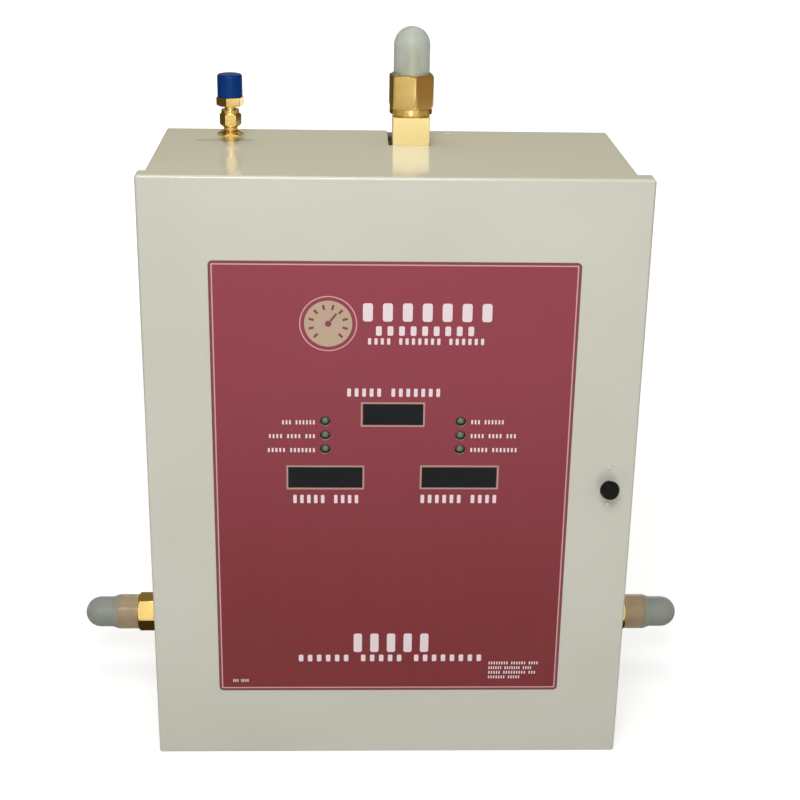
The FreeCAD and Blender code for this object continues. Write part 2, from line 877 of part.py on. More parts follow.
def make_latch():
    cam_front = size.cabinet_depth - size.cabinet_wall - size.cam_gap
    cam_back = cam_front - size.cam_wall
    plate_back = door_inside - size.latch_plate_wall
    barrel = size.latch_barrel / 2
    bore = size.latch_shaft_width / 2 + size.turn_gap
    collar = size.collar_width / 2
    stub = cam_front + size.cam_gap
    turned("latch_bushing", [
        (bore, stub - door_front),
        (barrel, stub - door_front),
        (barrel, 0),
        (collar, 0),
        (collar, size.collar_proud * 0.6),
        (collar - size.collar_proud * 0.4, size.collar_proud),
        (bore, size.collar_proud),
    ], (latch_across, -door_front, latch_height), OUT_FRONT)

    plate = new_body("latch_plate")
    across, up = size.latch_plate_width / 2, size.latch_plate_height / 2
    add(plate, FRONTAL, plate_back, door_inside, rectangle,
        latch_across - across, latch_height - up, latch_across + across, latch_height + up)
    cut(plate, FRONTAL, plate_back, door_inside, circle, latch_across, latch_height,
        size.latch_barrel + size.hole_gap)
    for end in (-1, 1):
        height = latch_height + size.latch_rivet_spread * end
        add(plate, FRONTAL, door_inside, door_front + size.latch_rivet_crown, circle,
            latch_across, height, size.latch_rivet_width)

    # The shaft's end is riveted over behind the cam
    shaft = size.latch_shaft_width / 2
    rivet = size.latch_rivet_crown
    knob, face, hub = size.knob_width / 2, size.knob_face_width / 2, size.knob_hub_width / 2
    low, skirt, edge = size.collar_proud + size.knob_gap, size.knob_hub_height, size.knob_edge
    turned("latch_knob", [
        (0, cam_back - rivet - door_front),
        (shaft, cam_back - rivet - door_front),
        (shaft + rivet, cam_back - door_front),
        (shaft, cam_back - door_front),
        (shaft, low),
        (hub, low),
        (hub, skirt),
        (knob, skirt),
        (knob, skirt + edge),
        (face, size.knob_proud - edge),
        (face - edge, size.knob_proud, edge, 1),
        (0, size.knob_proud),
    ], (latch_across, -door_front, latch_height), OUT_FRONT)

    cam = new_body("latch_cam")
    half = size.cam_width / 2
    add(cam, FRONTAL, cam_back, cam_front, draw_path, [
        (latch_across - half, latch_height, half, 1),
        (latch_across - half, latch_height - size.cam_reach + size.cam_tail),
        (latch_across - half + size.cam_tail, latch_height - size.cam_reach, size.cam_tail, 1),
        (latch_across + half - size.cam_tail, latch_height - size.cam_reach),
        (latch_across + half, latch_height - size.cam_reach + size.cam_tail, size.cam_tail, 1),
        (latch_across + half, latch_height),
        (latch_across, latch_height + half, half, 1),
    ])
    cut(cam, FRONTAL, cam_back, cam_front, circle, latch_across, latch_height,
        size.latch_shaft_width + size.turn_gap * 2)


def outward(side):
    """The turn that points a piece to the left for -1 and to the right for 1."""
    return TO_LEFT if side < 0 else TO_RIGHT


def side_name(side):
    return "left" if side < 0 else "right"


def in_order(first, second):
    """Two places with the lower one first."""
    return (first, second) if first.value < second.value else (second, first)


inlet_block_back = size.pipe_depth - size.inlet_block_thickness / 2
inlet_block_front = size.pipe_depth + size.inlet_block_thickness / 2
inlet_block_outer = half_width - size.inlet_block_inset
inlet_block_inner = inlet_block_outer - size.inlet_block_width
inlet_block_centre = (inlet_block_outer + inlet_block_inner) / 2
inlet_block_top = inlet_height + size.inlet_block_width / 2
changeover_back = size.pipe_depth - size.changeover_thickness / 2
changeover_front = size.pipe_depth + size.changeover_thickness / 2
changeover_top = size.changeover_rise + size.changeover_height / 2
port_reach = size.regulator_port_reach
# Each bank regulator stands where the tubes on both sides of it run equally far
bank_regulator_offset = (size.changeover_width / 2 + inlet_block_centre - port_reach) / 2
tube_hole = size.tube_width + size.tube_gap * 2


def make_inlet(side):
    """Bank inlet: a hexagon adaptor screwed into its filter block, with a thread under its cap."""
    name = side_name(side)
    hex_low = size.inlet_block_inset + size.inlet_hex_gap
    hex_high = hex_low + size.inlet_hex_length
    end = hex_high + size.inlet_thread_length
    bore, shank, thread = size.inlet_bore / 2, size.inlet_shank / 2, size.inlet_thread_width / 2
    relief = size.thread_relief
    body = turned(f"{name}_inlet_body", [
        (bore, -size.inlet_seat),
        (shank, -size.inlet_seat),
        (shank, hex_high),
        (thread - relief, hex_high),
        (thread - relief, hex_high + relief),
        (thread, hex_high + relief * 2),
        (thread, end - relief),
        (thread - relief, end),
        (bore + relief * 2, end),
        (bore, end - relief * 2),
    ], (inlet_block_outer * side, -size.pipe_depth, inlet_height), outward(side))
    add_hexagon(body, hex_low, hex_high, size.inlet_hex_flats, SIDE_HEX_TURN)
    cut(body, LEVEL, -size.inlet_seat, end, circle, 0, 0, size.inlet_bore)

    block = new_body(f"{name}_inlet_block")
    near_edge, far_edge = in_order(inlet_block_inner * side, inlet_block_outer * side)
    half = size.inlet_block_width / 2
    solid = add(block, FRONTAL, inlet_block_back, inlet_block_front, rectangle,
                near_edge, inlet_height - half, far_edge, inlet_height + half)
    soften(block, solid, size.block_edge, lambda edge: edge.BoundBox.YLength > 1)
    seat_end = inlet_block_outer - size.inlet_seat
    low, high = in_order(seat_end * side, inlet_block_outer * side)
    cut(block, SIDEWAYS, low, high, circle, -size.pipe_depth, inlet_height,
        size.inlet_shank + size.tube_gap * 2)
    cut(block, LEVEL, inlet_block_top - size.tube_seat, inlet_block_top, circle,
        inlet_block_centre * side, -size.pipe_depth, tube_hole)
    cut(block, FRONTAL, inlet_block_front - size.transducer_seat, inlet_block_front, circle,
        inlet_block_centre * side, inlet_height, size.transducer_thread + size.hole_gap)
    cut_bolt_holes(block, inlet_block_back, inlet_block_front, inlet_block_centre * side, inlet_height)


def bolt_spots(across, height):
    """Two bolts at opposite corners of a block."""
    spread = size.bolt_spread
    return [(across - spread, height - spread), (across + spread, height + spread)]


def cut_bolt_holes(body, low, high, across, height):
    for spot in bolt_spots(across, height):
        cut(body, FRONTAL, low, high, circle, *spot, size.bolt_width + size.hole_gap)


def make_regulator(name, across, height, ports):
    """Pressure regulator that faces the front: body with its ports, and a bonnet with a screw."""
    at = (across, -(size.pipe_depth - size.regulator_thickness / 2), height)
    radius, thick = size.regulator_width / 2, size.regulator_thickness
    step, foot = size.regulator_step, size.regulator_foot_bevel
    body = turned(f"{name}_regulator_body", [
        (0, 0),
        (radius - step - foot, 0),
        (radius - step, foot * 0.7),
        (radius - step, thick - size.regulator_flange - step),
        (radius, thick - size.regulator_flange),
        (radius, thick),
        (0, thick),
    ], at, OUT_FRONT)
    port, middle = size.regulator_port_width, thick / 2
    for axis, sign in ports:
        far = port_reach * sign
        hole = (port_reach - size.tube_seat) * sign
        root = (port_reach - size.regulator_port_width) * sign
        low, high = in_order(root, far)
        hole_low, hole_high = in_order(hole, far)
        if axis == "up":
            # The sketch plane's normal is the local -Y, which stands for downwards here
            add(body, FRONTAL, -high, -low, circle, 0, middle, port)
            cut(body, FRONTAL, -hole_high, -hole_low, circle, 0, middle, tube_hole)
        else:
            add(body, SIDEWAYS, low, high, circle, 0, middle, port)
            cut(body, SIDEWAYS, hole_low, hole_high, circle, 0, middle, tube_hole)

    nose, length = size.bonnet_nose / 2, size.bonnet_length
    foot, dome, bend = size.bonnet_foot / 2, size.bonnet_dome / 2, size.bonnet_round
    bore = size.screw_width / 2 + size.turn_gap
    shoulder = length * 0.7
    turned(f"{name}_regulator_bonnet", [
        (0, 0),
        (radius, 0),
        (radius, size.bonnet_flange),
        (foot, size.bonnet_flange + size.bonnet_step),
        (dome, shoulder - bend),
        (dome - bend, shoulder, bend, 1),
        (nose, shoulder + size.bonnet_step),
        (nose, length),
        (bore, length),
        (bore, length - size.screw_seat),
        (0, length - size.screw_seat),
    ], (across, at[1] - thick, height), OUT_FRONT)


def regulator_places():
    """Name, centre and ports of each of the three regulators."""
    bank_height = -size.bank_regulator_drop
    return [
        ("left", -bank_regulator_offset, bank_height, [("across", -1), ("up", 1)]),
        ("right", bank_regulator_offset, bank_height, [("across", 1), ("up", 1)]),
        ("line", size.outlet_offset, size.line_regulator_rise, [("up", -1), ("up", 1)]),
    ]


def make_regulators():
    for place_of in regulator_places():
        make_regulator(*place_of)
    shank = size.screw_width / 2
    screw = turned("regulator_screw", [
        (0, -size.screw_seat),
        (shank, -size.screw_seat),
        (shank, size.screw_length - size.screw_seat),
        (0, size.screw_length - size.screw_seat),
    ], (0, 0, 0))
    top, gap = size.screw_length - size.screw_seat, size.screw_nut_gap
    add_hexagon(screw, top - size.screw_head_height, top, size.screw_head_flats, 0)
    add_hexagon(screw, gap, gap + size.screw_nut_height, size.screw_head_flats, 0)
    front = size.pipe_depth + size.regulator_thickness / 2 + size.bonnet_length
    spots = [((across, -front, height), OUT_FRONT) for _, across, height, _ in regulator_places()]
    group("regulator_screws", copies(screw, spots))


def make_bank_tubes(side):
    """From inlet block up to the regulator, and from its top across to the changeover block."""
    name = side_name(side)
    wall, bend, small = size.tube_wall, size.tube_bend, size.inlet_tube_bend
    turn = 1 if side > 0 else -1
    start = inlet_block_centre * side
    height = -size.bank_regulator_drop
    port = (bank_regulator_offset + port_reach - size.tube_seat) * side
    bent_tube(f"{name}_inlet_tube", [
        (start, inlet_block_top - size.tube_seat),
        (start, height - small),
        (start - small * side, height, small, turn),
        (port, height),
    ], size.tube_width, wall, size.pipe_depth)
    middle = bank_regulator_offset * side
    bent_tube(f"{name}_crossover_tube", [
        (middle, height + port_reach - size.tube_seat),
        (middle, size.changeover_rise - bend),
        (middle - bend * side, size.changeover_rise, bend, turn),
        ((size.changeover_width / 2 - size.tube_seat) * side, size.changeover_rise),
    ], size.tube_width, wall, size.pipe_depth)


def riser_spans():
    """Heights of the two straight risers' lower and upper ports."""
    return [
        (changeover_top, size.line_regulator_rise - port_reach),
        (size.line_regulator_rise + port_reach, block_bottom),
    ]


def make_risers():
    tubes = []
    for number, (low, high) in enumerate(riser_spans(), start=1):
        tube = new_body(f"riser_tube_{number}")
        add(tube, LEVEL, low - size.tube_seat, high + size.tube_seat, ring,
            size.outlet_offset, -size.pipe_depth, size.tube_width, size.tube_width - size.tube_wall * 2)
        tubes.append(tube)
    group("riser_tubes", tubes)


def make_tube_nuts():
    """Compression nuts at every tube end, each seated on its port's face."""
    flats, length = size.tube_nut_flats, size.tube_nut_length
    hole = size.tube_width / 2 + size.tube_gap
    nut = turned("tube_nut", [
        (hole, 0),
        (flats * 0.47, 0),
        (flats * 0.47, length * 0.2),
        (flats * 0.4, length * 0.8),
        (flats * 0.4, length),
        (hole, length),
    ], (0, 0, 0))
    add(nut, LEVEL, length * 0.06, length * 0.72, hexagon, flats, 0)
    cut(nut, LEVEL, 0, length, circle, 0, 0, hole * 2)
    spots = []
    depth, rise = -size.pipe_depth, size.changeover_rise
    bank = -size.bank_regulator_drop
    for side in (-1, 1):
        middle = bank_regulator_offset * side
        spots.append(((inlet_block_centre * side, depth, inlet_block_top), UP))
        spots.append((((bank_regulator_offset + port_reach) * side, depth, bank), outward(side)))
        spots.append(((middle, depth, bank + port_reach), UP))
        spots.append((((size.changeover_width / 2) * side, depth, rise), outward(side)))
    for low, high in riser_spans():
        spots.append(((size.outlet_offset, depth, low), UP))
        spots.append(((size.outlet_offset, depth, high), DOWN))
    group("tube_nuts", copies(nut, spots))


def make_changeover():
    block = new_body("changeover_block")
    across, up = size.changeover_width / 2, size.changeover_height / 2
    rise = size.changeover_rise
    solid = add(block, FRONTAL, changeover_back, changeover_front, rectangle,
                -across, rise - up, across, rise + up)
    soften(block, solid, size.block_edge, lambda edge: edge.BoundBox.YLength > 1)
    for low, high in ((-across, -across + size.tube_seat), (across - size.tube_seat, across)):
        cut(block, SIDEWAYS, low, high, circle, -size.pipe_depth, rise, tube_hole)
    cut(block, LEVEL, changeover_top - size.tube_seat, changeover_top, circle,
        size.outlet_offset, -size.pipe_depth, tube_hole)
    for side in (-1, 1):
        cut(block, FRONTAL, changeover_front - size.solenoid_seat, changeover_front, circle,
            size.solenoid_spread * side, rise, size.solenoid_stem + size.hole_gap)
    for spot in changeover_bolt_spots(-1) + changeover_bolt_spots(1):
        cut(block, FRONTAL, changeover_back, changeover_front, circle, *spot, size.bolt_width + size.hole_gap)

    stem, tip = size.solenoid_stem / 2, size.solenoid_tip_step
    end = size.solenoid_stem_length
    coil = turned("solenoid", [
        (0, -size.solenoid_seat),
        (stem, -size.solenoid_seat),
        (stem, end - size.solenoid_tip_length - tip / 2),
        (stem - tip, end - size.solenoid_tip_length),
        (stem - tip, end),
        (0, end),
    ], (0, 0, 0))
    start, stop = size.coil_start, size.coil_start + size.coil_length
    wide, tall = size.coil_width / 2, size.coil_height / 2
    add(coil, LEVEL, start, stop, rounded_rectangle, -wide, -tall, wide, tall, size.coil_corner)
    plug, middle = size.coil_plug_width / 2, (start + stop) / 2
    add(coil, LEVEL, middle - size.coil_plug_length / 2, middle + size.coil_plug_length / 2, rectangle,
        -plug, -tall - size.coil_plug_reach, plug, -tall)
    add_hexagon(coil, stop, stop + size.coil_nut_height, size.coil_nut_flats, 0)
    spots = [((size.solenoid_spread * side, -changeover_front, rise), OUT_FRONT) for side in (-1, 1)]
    group("solenoids", copies(coil, spots))


def changeover_bolt_spots(side):
    """The two bolts at one end of the changeover block."""
    across = (size.changeover_width / 2 - size.bolt_inset) * side
    up = size.changeover_height / 2 - size.bolt_inset
    return [(across, size.changeover_rise - up), (across, size.changeover_rise + up)]


def make_outlet():
    across, depth = size.outlet_offset, size.pipe_depth
    half = size.outlet_block_width / 2
    block = new_body("outlet_block")
    solid = add(block, LEVEL, block_bottom, block_top, rectangle,
                across - half, -depth - half, across + half, -depth + half)
    soften(block, solid, size.outlet_block_edge, lambda edge: edge.BoundBox.ZLength > 1)
    cut(block, LEVEL, block_bottom, block_bottom + size.tube_seat, circle, across, -depth, tube_hole)
    cut(block, LEVEL, block_top - size.nipple_seat, block_top, circle, across, -depth,
        size.nipple_neck + size.tube_gap * 2)
    cut(block, SIDEWAYS, across - half, across - half + size.transducer_seat, circle,
        -size.vent_depth, relief_height, size.relief_thread + size.hole_gap)
    cut(block, SIDEWAYS, across + half - size.transducer_seat, across + half, circle,
        -depth, relief_height, size.transducer_thread + size.hole_gap)
    for spot in outlet_bolt_spots():
        cut(block, FRONTAL, depth - half, depth + half, circle, *spot, size.bolt_width + size.hole_gap)

    nut_low = size.union_nut_gap
    floor = nut_low + size.union_nut_floor
    top = nut_low + size.union_nut_height
    neck, bore = size.nipple_neck / 2, size.nipple_bore / 2
    collar_low = floor + size.cap_rest_gap
    collar_high = collar_low + size.nipple_collar_height
    stem, nose, edge = size.nipple_stem / 2, size.nipple_nose / 2, size.nipple_edge
    tip, bend = size.nipple_rise, size.nipple_nose_round
    taper = top - size.nipple_taper_sink
    turned("outlet_nipple", [
        (bore, -size.nipple_seat),
        (neck, -size.nipple_seat),
        (neck, collar_low),
        (size.nipple_collar / 2, collar_low),
        (size.nipple_collar / 2, collar_high),
        (stem, collar_high + edge),
        (stem, taper),
        (nose, taper + size.nipple_taper_length),
        (nose, tip - bend),
        (nose - bend, tip, bend, 1),
        (bore + edge, tip),
        (bore, tip - edge),
    ], (across, -depth, block_top))

    flats = size.union_nut_flats
    hole = neck + size.turn_gap
    thread, foot = size.union_nut_bore / 2, size.union_nut_foot / 2
    nut = new_body("outlet_union_nut")
    add(nut, LEVEL, nut_low, top, hexagon, flats, OUTLET_NUT_TURN)
    bevel(nut, nut_low, foot, flats, (flats * CORNER_REACH - foot) * math.tan(math.radians(60)))
    bevel(nut, top, flats * 0.49, flats, -flats * 0.1 * math.tan(math.radians(30)))
    cut(nut, LEVEL, nut_low, top, circle, 0, 0, hole * 2)
    cut(nut, LEVEL, floor, top, circle, 0, 0, thread * 2)
    place(nut, (across, -depth, block_top))

    outer, wall = size.outlet_cap_width / 2, size.cap_wall
    plug = thread - size.cap_plug_gap
    low, rest = top - size.cap_plug_depth, top + size.cap_rest_gap
    shoulder = rest + wall
    dome = low + size.cap_length - outer
    turned("outlet_cap", [
        (plug - wall, low),
        (plug, low),
        (plug, rest),
        (outer, shoulder),
        (outer, dome),
        (0, dome + outer, outer, 1),
        (0, dome + outer - wall),
        (outer - wall, dome, outer - wall, -1),
        (outer - wall, shoulder),
        (plug - wall, rest),
    ], (across, -depth, block_top))


def outlet_bolt_spots():
    """One bolt below and one above the ports at the sides of the outlet block."""
    low = block_bottom + size.tube_seat + size.bolt_inset
    return [(size.outlet_offset, low), (size.outlet_offset, relief_height + size.bolt_spread)]


def make_side_cap(side):
    """Dust cap pushed over the inlet's thread: its skirt is stretched wider than its dome."""
    hex_high = size.inlet_block_inset + size.inlet_hex_gap + size.inlet_hex_length
    low = hex_high + size.cap_rest_gap
    inner = size.inlet_thread_width / 2 + size.cap_stretch_gap
    wall, outer = size.cap_wall, size.side_cap_width / 2
    waist = hex_high + size.inlet_thread_length - wall
    neck = waist + size.cap_shoulder
    dome = low + size.cap_length - outer
    # The shoulder's inner face starts lower by this much, which keeps its wall as thick
    drop = wall * 0.3
    turned(f"{side_name(side)}_cap", [
        (inner, low),
        (inner + wall, low),
        (inner + wall, waist),
        (outer, neck),
        (outer, dome),
        (0, dome + outer, outer, 1),
        (0, dome + outer - wall),
        (outer - wall, dome, outer - wall, -1),
        (outer - wall, neck - drop),
        (inner, waist - drop),
    ], (inlet_block_outer * side, -size.pipe_depth, inlet_height), outward(side))


def make_transducers():
    """Pressure transducers: two on the inlet blocks and one on the outlet block."""
    hexes, can, length = size.transducer_hex_length, size.transducer_can / 2, size.transducer_length
    seat, thread = size.transducer_seat, size.transducer_thread / 2
    neck, plug = can - size.transducer_step, length - size.transducer_plug_length
    body = turned("transducer", [
        (0, -seat),
        (thread, -seat),
        (thread, 0),
        (neck, 0),
        (neck, hexes),
        (can, hexes),
        (can, plug - size.transducer_bevel),
        (neck, plug),
        (neck, length),
        (0, length),
    ], (0, 0, 0))
    add_hexagon(body, 0, hexes, size.transducer_hex_flats, 0)
    depth = -size.pipe_depth
    spots = [((inlet_block_centre * side, -inlet_block_front, inlet_height), OUT_FRONT) for side in (-1, 1)]
    spots.append(((size.outlet_offset + size.outlet_block_width / 2, depth, relief_height), TO_RIGHT))
    group("pressure_transducers", copies(body, spots))


vent_base_top = size.vent_foot_height + size.vent_hex_height
vent_nut_low = vent_base_top + size.vent_neck_height / 2


def make_vent():
    """Relief valve on the outlet block, its tube, and the capped vent above the cabinet's top."""
    depth, top = size.vent_depth, half_height
    seat, length = size.transducer_seat, size.relief_length
    thread, radius = size.relief_thread / 2, size.relief_width / 2
    tube = size.vent_tube_width / 2 + size.tube_gap
    face = size.outlet_offset - size.outlet_block_width / 2
    step, socket = size.relief_step, length - size.tube_seat
    valve = turned("relief_valve", [
        (0, -seat),
        (thread, -seat),
        (thread, 0),
        (radius, 0),
        (radius, socket - step),
        (radius - step, socket),
        (radius - step, length),
        (tube, length),
        (tube, socket),
        (0, socket),
    ], (face, -depth, relief_height), TO_LEFT)
    add_hexagon(valve, 0, size.relief_hex_length, size.relief_flats, 0)

    across, bend = -size.vent_offset, size.vent_tube_bend
    low = -size.cabinet_wall - size.vent_thread_length
    bent_tube("vent_tube", [
        (across, top + low + size.tube_seat),
        (across, relief_height + bend),
        (across + bend, relief_height, bend, 1),
        (face - length + size.tube_seat, relief_height),
    ], size.vent_tube_width, size.tube_wall, depth)

    wide, foot = size.vent_hex_flats, size.vent_foot / 2
    neck, neck_top = size.vent_neck / 2, vent_base_top + size.vent_neck_height
    bore, socket = size.vent_bore / 2, size.vent_stem / 2 + size.tube_gap
    body = turned("vent_body", [
        (tube, low),
        (size.vent_thread / 2, low),
        (size.vent_thread / 2, 0),
        (foot, 0),
        (foot, vent_base_top),
        (neck, vent_base_top),
        (neck, neck_top),
        (socket, neck_top),
        (socket, vent_base_top),
        (bore, vent_base_top),
        (bore, low + size.tube_seat),
        (tube, low + size.tube_seat),
    ], (across, -depth, top))
    add(body, LEVEL, size.vent_foot_height, vent_base_top, hexagon, wide, VENT_HEX_TURN)
    slope = math.tan(math.radians(30))
    bevel(body, vent_base_top, neck, wide, -(wide * CORNER_REACH - neck) * slope)
    cut(body, LEVEL, low + size.tube_seat, vent_base_top, circle, 0, 0, size.vent_bore)

    locknut = new_body("vent_locknut")
    nut_top = -size.cabinet_wall
    nut_low = nut_top - size.vent_locknut_height
    add_hexagon(locknut, nut_low, nut_top, size.vent_locknut_flats, 0, True, False)
    cut(locknut, LEVEL, nut_low, nut_top, circle, 0, 0, size.vent_thread + size.hole_gap / 2)
    place(locknut, (across, -depth, top))

    flats, tall = size.vent_nut_flats, size.vent_nut_height
    foot, collar = size.vent_nut_foot / 2, size.vent_nut_collar / 2
    nut = new_body("vent_nut")
    add(nut, LEVEL, 0, tall, hexagon, flats, VENT_NUT_TURN)
    add(nut, LEVEL, tall, tall + size.vent_nut_collar_height, circle, 0, 0, size.vent_nut_collar)
    bevel(nut, as_size(0), foot, flats, (flats * CORNER_REACH - foot) * math.tan(math.radians(40)))
    bevel(nut, tall, collar, flats, -(flats * CORNER_REACH - collar))
    cut(nut, LEVEL, 0, size.vent_neck_height, circle, 0, 0, size.vent_neck + size.tube_gap * 2)
    cut(nut, LEVEL, 0, tall + size.vent_nut_collar_height, circle, 0, 0, socket * 2)
    place(nut, (across, -depth, top + vent_nut_low))


def make_vent_top():
    """Adaptor in the vent's nut, and the dust cap over its thread."""
    across, depth = -size.vent_offset, size.vent_depth
    stem, male = size.vent_stem / 2, size.vent_male_width / 2
    seat = vent_base_top + size.tube_gap
    hex_low = vent_nut_low + size.vent_nut_height + size.vent_nut_collar_height + size.vent_stem_height
    hex_high = hex_low + size.vent_top_hex_height
    end = hex_high + size.vent_male_length
    bore, relief = size.vent_bore / 2, size.thread_relief
    adapter = turned("vent_adapter", [
        (bore, seat),
        (stem, seat),
        (stem, hex_high),
        (male - relief, hex_high),
        (male - relief, hex_high + relief),
        (male, hex_high + relief * 2),
        (male, end - relief / 2),
        (male - relief / 2, end),
        (bore, end),
    ], (across, -depth, half_height))
    add_hexagon(adapter, hex_low, hex_high, size.vent_top_hex_flats, VENT_TOP_HEX_TURN, True, False)
    cut(adapter, LEVEL, seat, end, circle, 0, 0, size.vent_bore)

    low = hex_high + size.cap_rest_gap
    outer = size.vent_cap_width / 2
    inner = male + size.cap_stretch_gap
    high, round_edge = low + size.vent_cap_length, size.vent_cap_round
    turned("vent_cap", [
        (inner, low),
        (outer, low),
        (outer, high - round_edge),
        (outer - round_edge, high, round_edge, 1),
        (0, high),
        (0, end + size.cap_rest_gap),
        (inner, end + size.cap_rest_gap),
    ], (across, -depth, half_height))


def hat_bracket(name, across, low, high, web, web_depth):
    """A folded channel between the back plate and a block: its web, wide on each side of the
    middle by web, carries the block."""
    body = new_body(name)
    wall, foot = size.bracket_wall, size.bracket_foot
    base = size.plate_wall
    add(body, LEVEL, low, high, draw_path, [
        (across - web - foot, -base),
        (across - web - foot, -base - wall),
        (across - web, -base - wall),
        (across - web, -web_depth),
        (across + web, -web_depth),
        (across + web, -base - wall),
        (across + web + foot, -base - wall),
        (across + web + foot, -base),
        (across + web - wall, -base),
        (across + web - wall, -web_depth + wall),
        (across - web + wall, -web_depth + wall),
        (across - web + wall, -base),
    ])
    return body


def make_brackets_and_bolts():
    brackets, bolts = [], []
    half = size.inlet_block_width / 2

    def fasten(bracket, spots, back, front):
        for spot in spots:
            cut(bracket, FRONTAL, back - size.bracket_wall, back, circle, *spot,
                size.bolt_width + size.hole_gap)
            bolts.append(bolt(len(bolts) + 1, spot, back, front))
        brackets.append(bracket)

    narrow, wide = size.bracket_web / 2, size.bolt_spread + size.bolt_width
    for side in (-1, 1):
        across = inlet_block_centre * side
        bracket = hat_bracket(f"{side_name(side)}_bracket", across,
                              inlet_height - half, inlet_height + half, wide, inlet_block_back)
        fasten(bracket, bolt_spots(across, inlet_height), inlet_block_back, inlet_block_front)
    rise, up = size.changeover_rise, size.changeover_height / 2
    for side in (-1, 1):
        across = (size.changeover_width / 2 - narrow) * side
        bracket = hat_bracket(f"changeover_{side_name(side)}_bracket", across,
                              rise - up, rise + up, narrow, changeover_back)
        fasten(bracket, changeover_bolt_spots(side), changeover_back, changeover_front)
    half_block = size.outlet_block_width / 2
    back, front = size.pipe_depth - half_block, size.pipe_depth + half_block
    bracket = hat_bracket("outlet_bracket", size.outlet_offset,
                          block_bottom, relief_height + size.relief_drop - size.bracket_foot, narrow, back)
    fasten(bracket, outlet_bolt_spots(), back, front)
    group("block_brackets", brackets)
    group("block_bolts", bolts)


def bolt(number, spot, back, front):
    """A socket-head bolt from the front through a block and its bracket's web."""
    body = new_body(f"block_bolt_{number}")
    across, height = spot
    tail = back - size.bracket_wall - size.bolt_tail
    add(body, FRONTAL, tail, front, circle, across, height, size.bolt_width)
    add(body, FRONTAL, front, front + size.bolt_crown, circle, across, height, size.bolt_head)
    cut(body, FRONTAL, front + size.bolt_crown * 0.4, front + size.bolt_crown, hexagon,
        size.bolt_head * 0.5, 0, across, height)
    return body


board_across = half_width - size.board_inset
board_height = half_height - size.board_drop


def control_standoff_spots():
    across = size.board_width / 2 - size.standoff_inset
    up = size.board_height / 2 - size.standoff_inset
    return [(board_across + across * side, board_height + up * end) for side in (-1, 1) for end in (-1, 1)]


def make_control_board():
    """Supply and relay board on the back plate, with its transformer and terminal block."""
    back = size.plate_wall + size.board_standoff
    front = back + size.board_wall
    centre, rise = board_across, board_height
    across, up = size.board_width / 2, size.board_height / 2
    board = new_body("control_board")
    add(board, FRONTAL, back, front, rectangle,
        centre - across, rise - up, centre + across, rise + up)
    for spot in control_standoff_spots():
        cut(board, FRONTAL, back, front, circle, *spot, size.standoff_stud + size.hole_gap)
    stud = turned("board_standoff", [
        (0, 0),
        (size.standoff_width / 2, 0),
        (size.standoff_width / 2, size.board_standoff),
        (size.standoff_stud / 2, size.board_standoff),
        (size.standoff_stud / 2, size.board_standoff + size.standoff_stud_length),
        (0, size.board_standoff + size.standoff_stud_length),
    ], (0, 0, 0))
    spots = [((x, -size.plate_wall, z), OUT_FRONT) for x, z in control_standoff_spots()]
    group("board_standoffs", copies(stud, spots))

    transformer = new_body("power_transformer")
    wide, tall, thick = size.transformer_width / 2, size.transformer_height / 2, size.transformer_thickness
    left, high, lip = centre - across / 2, rise + up / 2, size.transformer_lip
    add(transformer, FRONTAL, front, front + thick, rectangle,
        left - wide * 0.7, high - tall, left + wide * 0.7, high + tall)
    add(transformer, FRONTAL, front + thick * 0.25, front + thick * 0.75, rectangle,
        left - wide, high - tall - lip, left + wide, high + tall + lip)

    terminal = new_body("terminal_block")
    half, low = size.terminal_width / 2, rise - up + size.terminal_rise
    deep = size.terminal_thickness
    add(terminal, FRONTAL, front, front + deep, rectangle,
        centre - half, low, centre + half, low + size.terminal_height)
    count = int(size.terminal_width.value // size.terminal_pitch.value)
    for number in range(count):
        middle = centre + size.terminal_pitch * (number - (count - 1) / 2)
        cut(terminal, FRONTAL, front + deep - size.terminal_screw_sink, front + deep, circle,
            middle, low + size.terminal_height / 2, size.terminal_pitch * 0.6)


def build():
    write_sheet()
    make_back_plate()
    make_cabinet_shell()
    make_shell_screws()
    make_door_panel()
    make_label_overlay()
    make_display_windows()
    make_display_board()
    make_display_modules()
    for row, colour in enumerate(("green", "amber", "red")):
        make_lamps(f"{colour}_lamps", row)
    make_display_standoffs()
    make_hinge()
    make_latch()
    for side in (-1, 1):
        make_inlet(side)
        make_bank_tubes(side)
        make_side_cap(side)
    make_regulators()
    make_changeover()
    make_risers()
    make_tube_nuts()
    make_outlet()
    make_transducers()
    make_vent()
    make_vent_top()
    make_brackets_and_bolts()
    make_control_board()
    doc.recompute()


NODES = [
    "back_plate", "cabinet_shell", "shell_screws", "hinge_box_leaf", "hinge_pin",
    "left_inlet_body", "right_inlet_body", "left_inlet_block", "right_inlet_block",
    "left_inlet_tube", "right_inlet_tube", "left_crossover_tube", "right_crossover_tube",
    "left_regulator_body", "left_regulator_bonnet", "right_regulator_body", "right_regulator_bonnet",
    "line_regulator_body", "line_regulator_bonnet", "regulator_screws", "changeover_block", "solenoids",
    "riser_tubes", "tube_nuts", "outlet_block", "outlet_nipple", "pressure_transducers",
    "relief_valve", "vent_tube", "vent_body", "vent_locknut", "vent_nut", "vent_adapter",
    "block_brackets", "block_bolts", "control_board", "board_standoffs", "power_transformer",
    "terminal_block", "door_panel", "label_overlay", "display_windows", "display_board",
    "display_modules", "green_lamps", "amber_lamps", "red_lamps", "display_standoffs",
    "hinge_door_leaf", "latch_bushing", "latch_plate", "latch_knob", "latch_cam",
    "outlet_union_nut", "outlet_cap", "left_cap", "right_cap", "vent_cap",
]


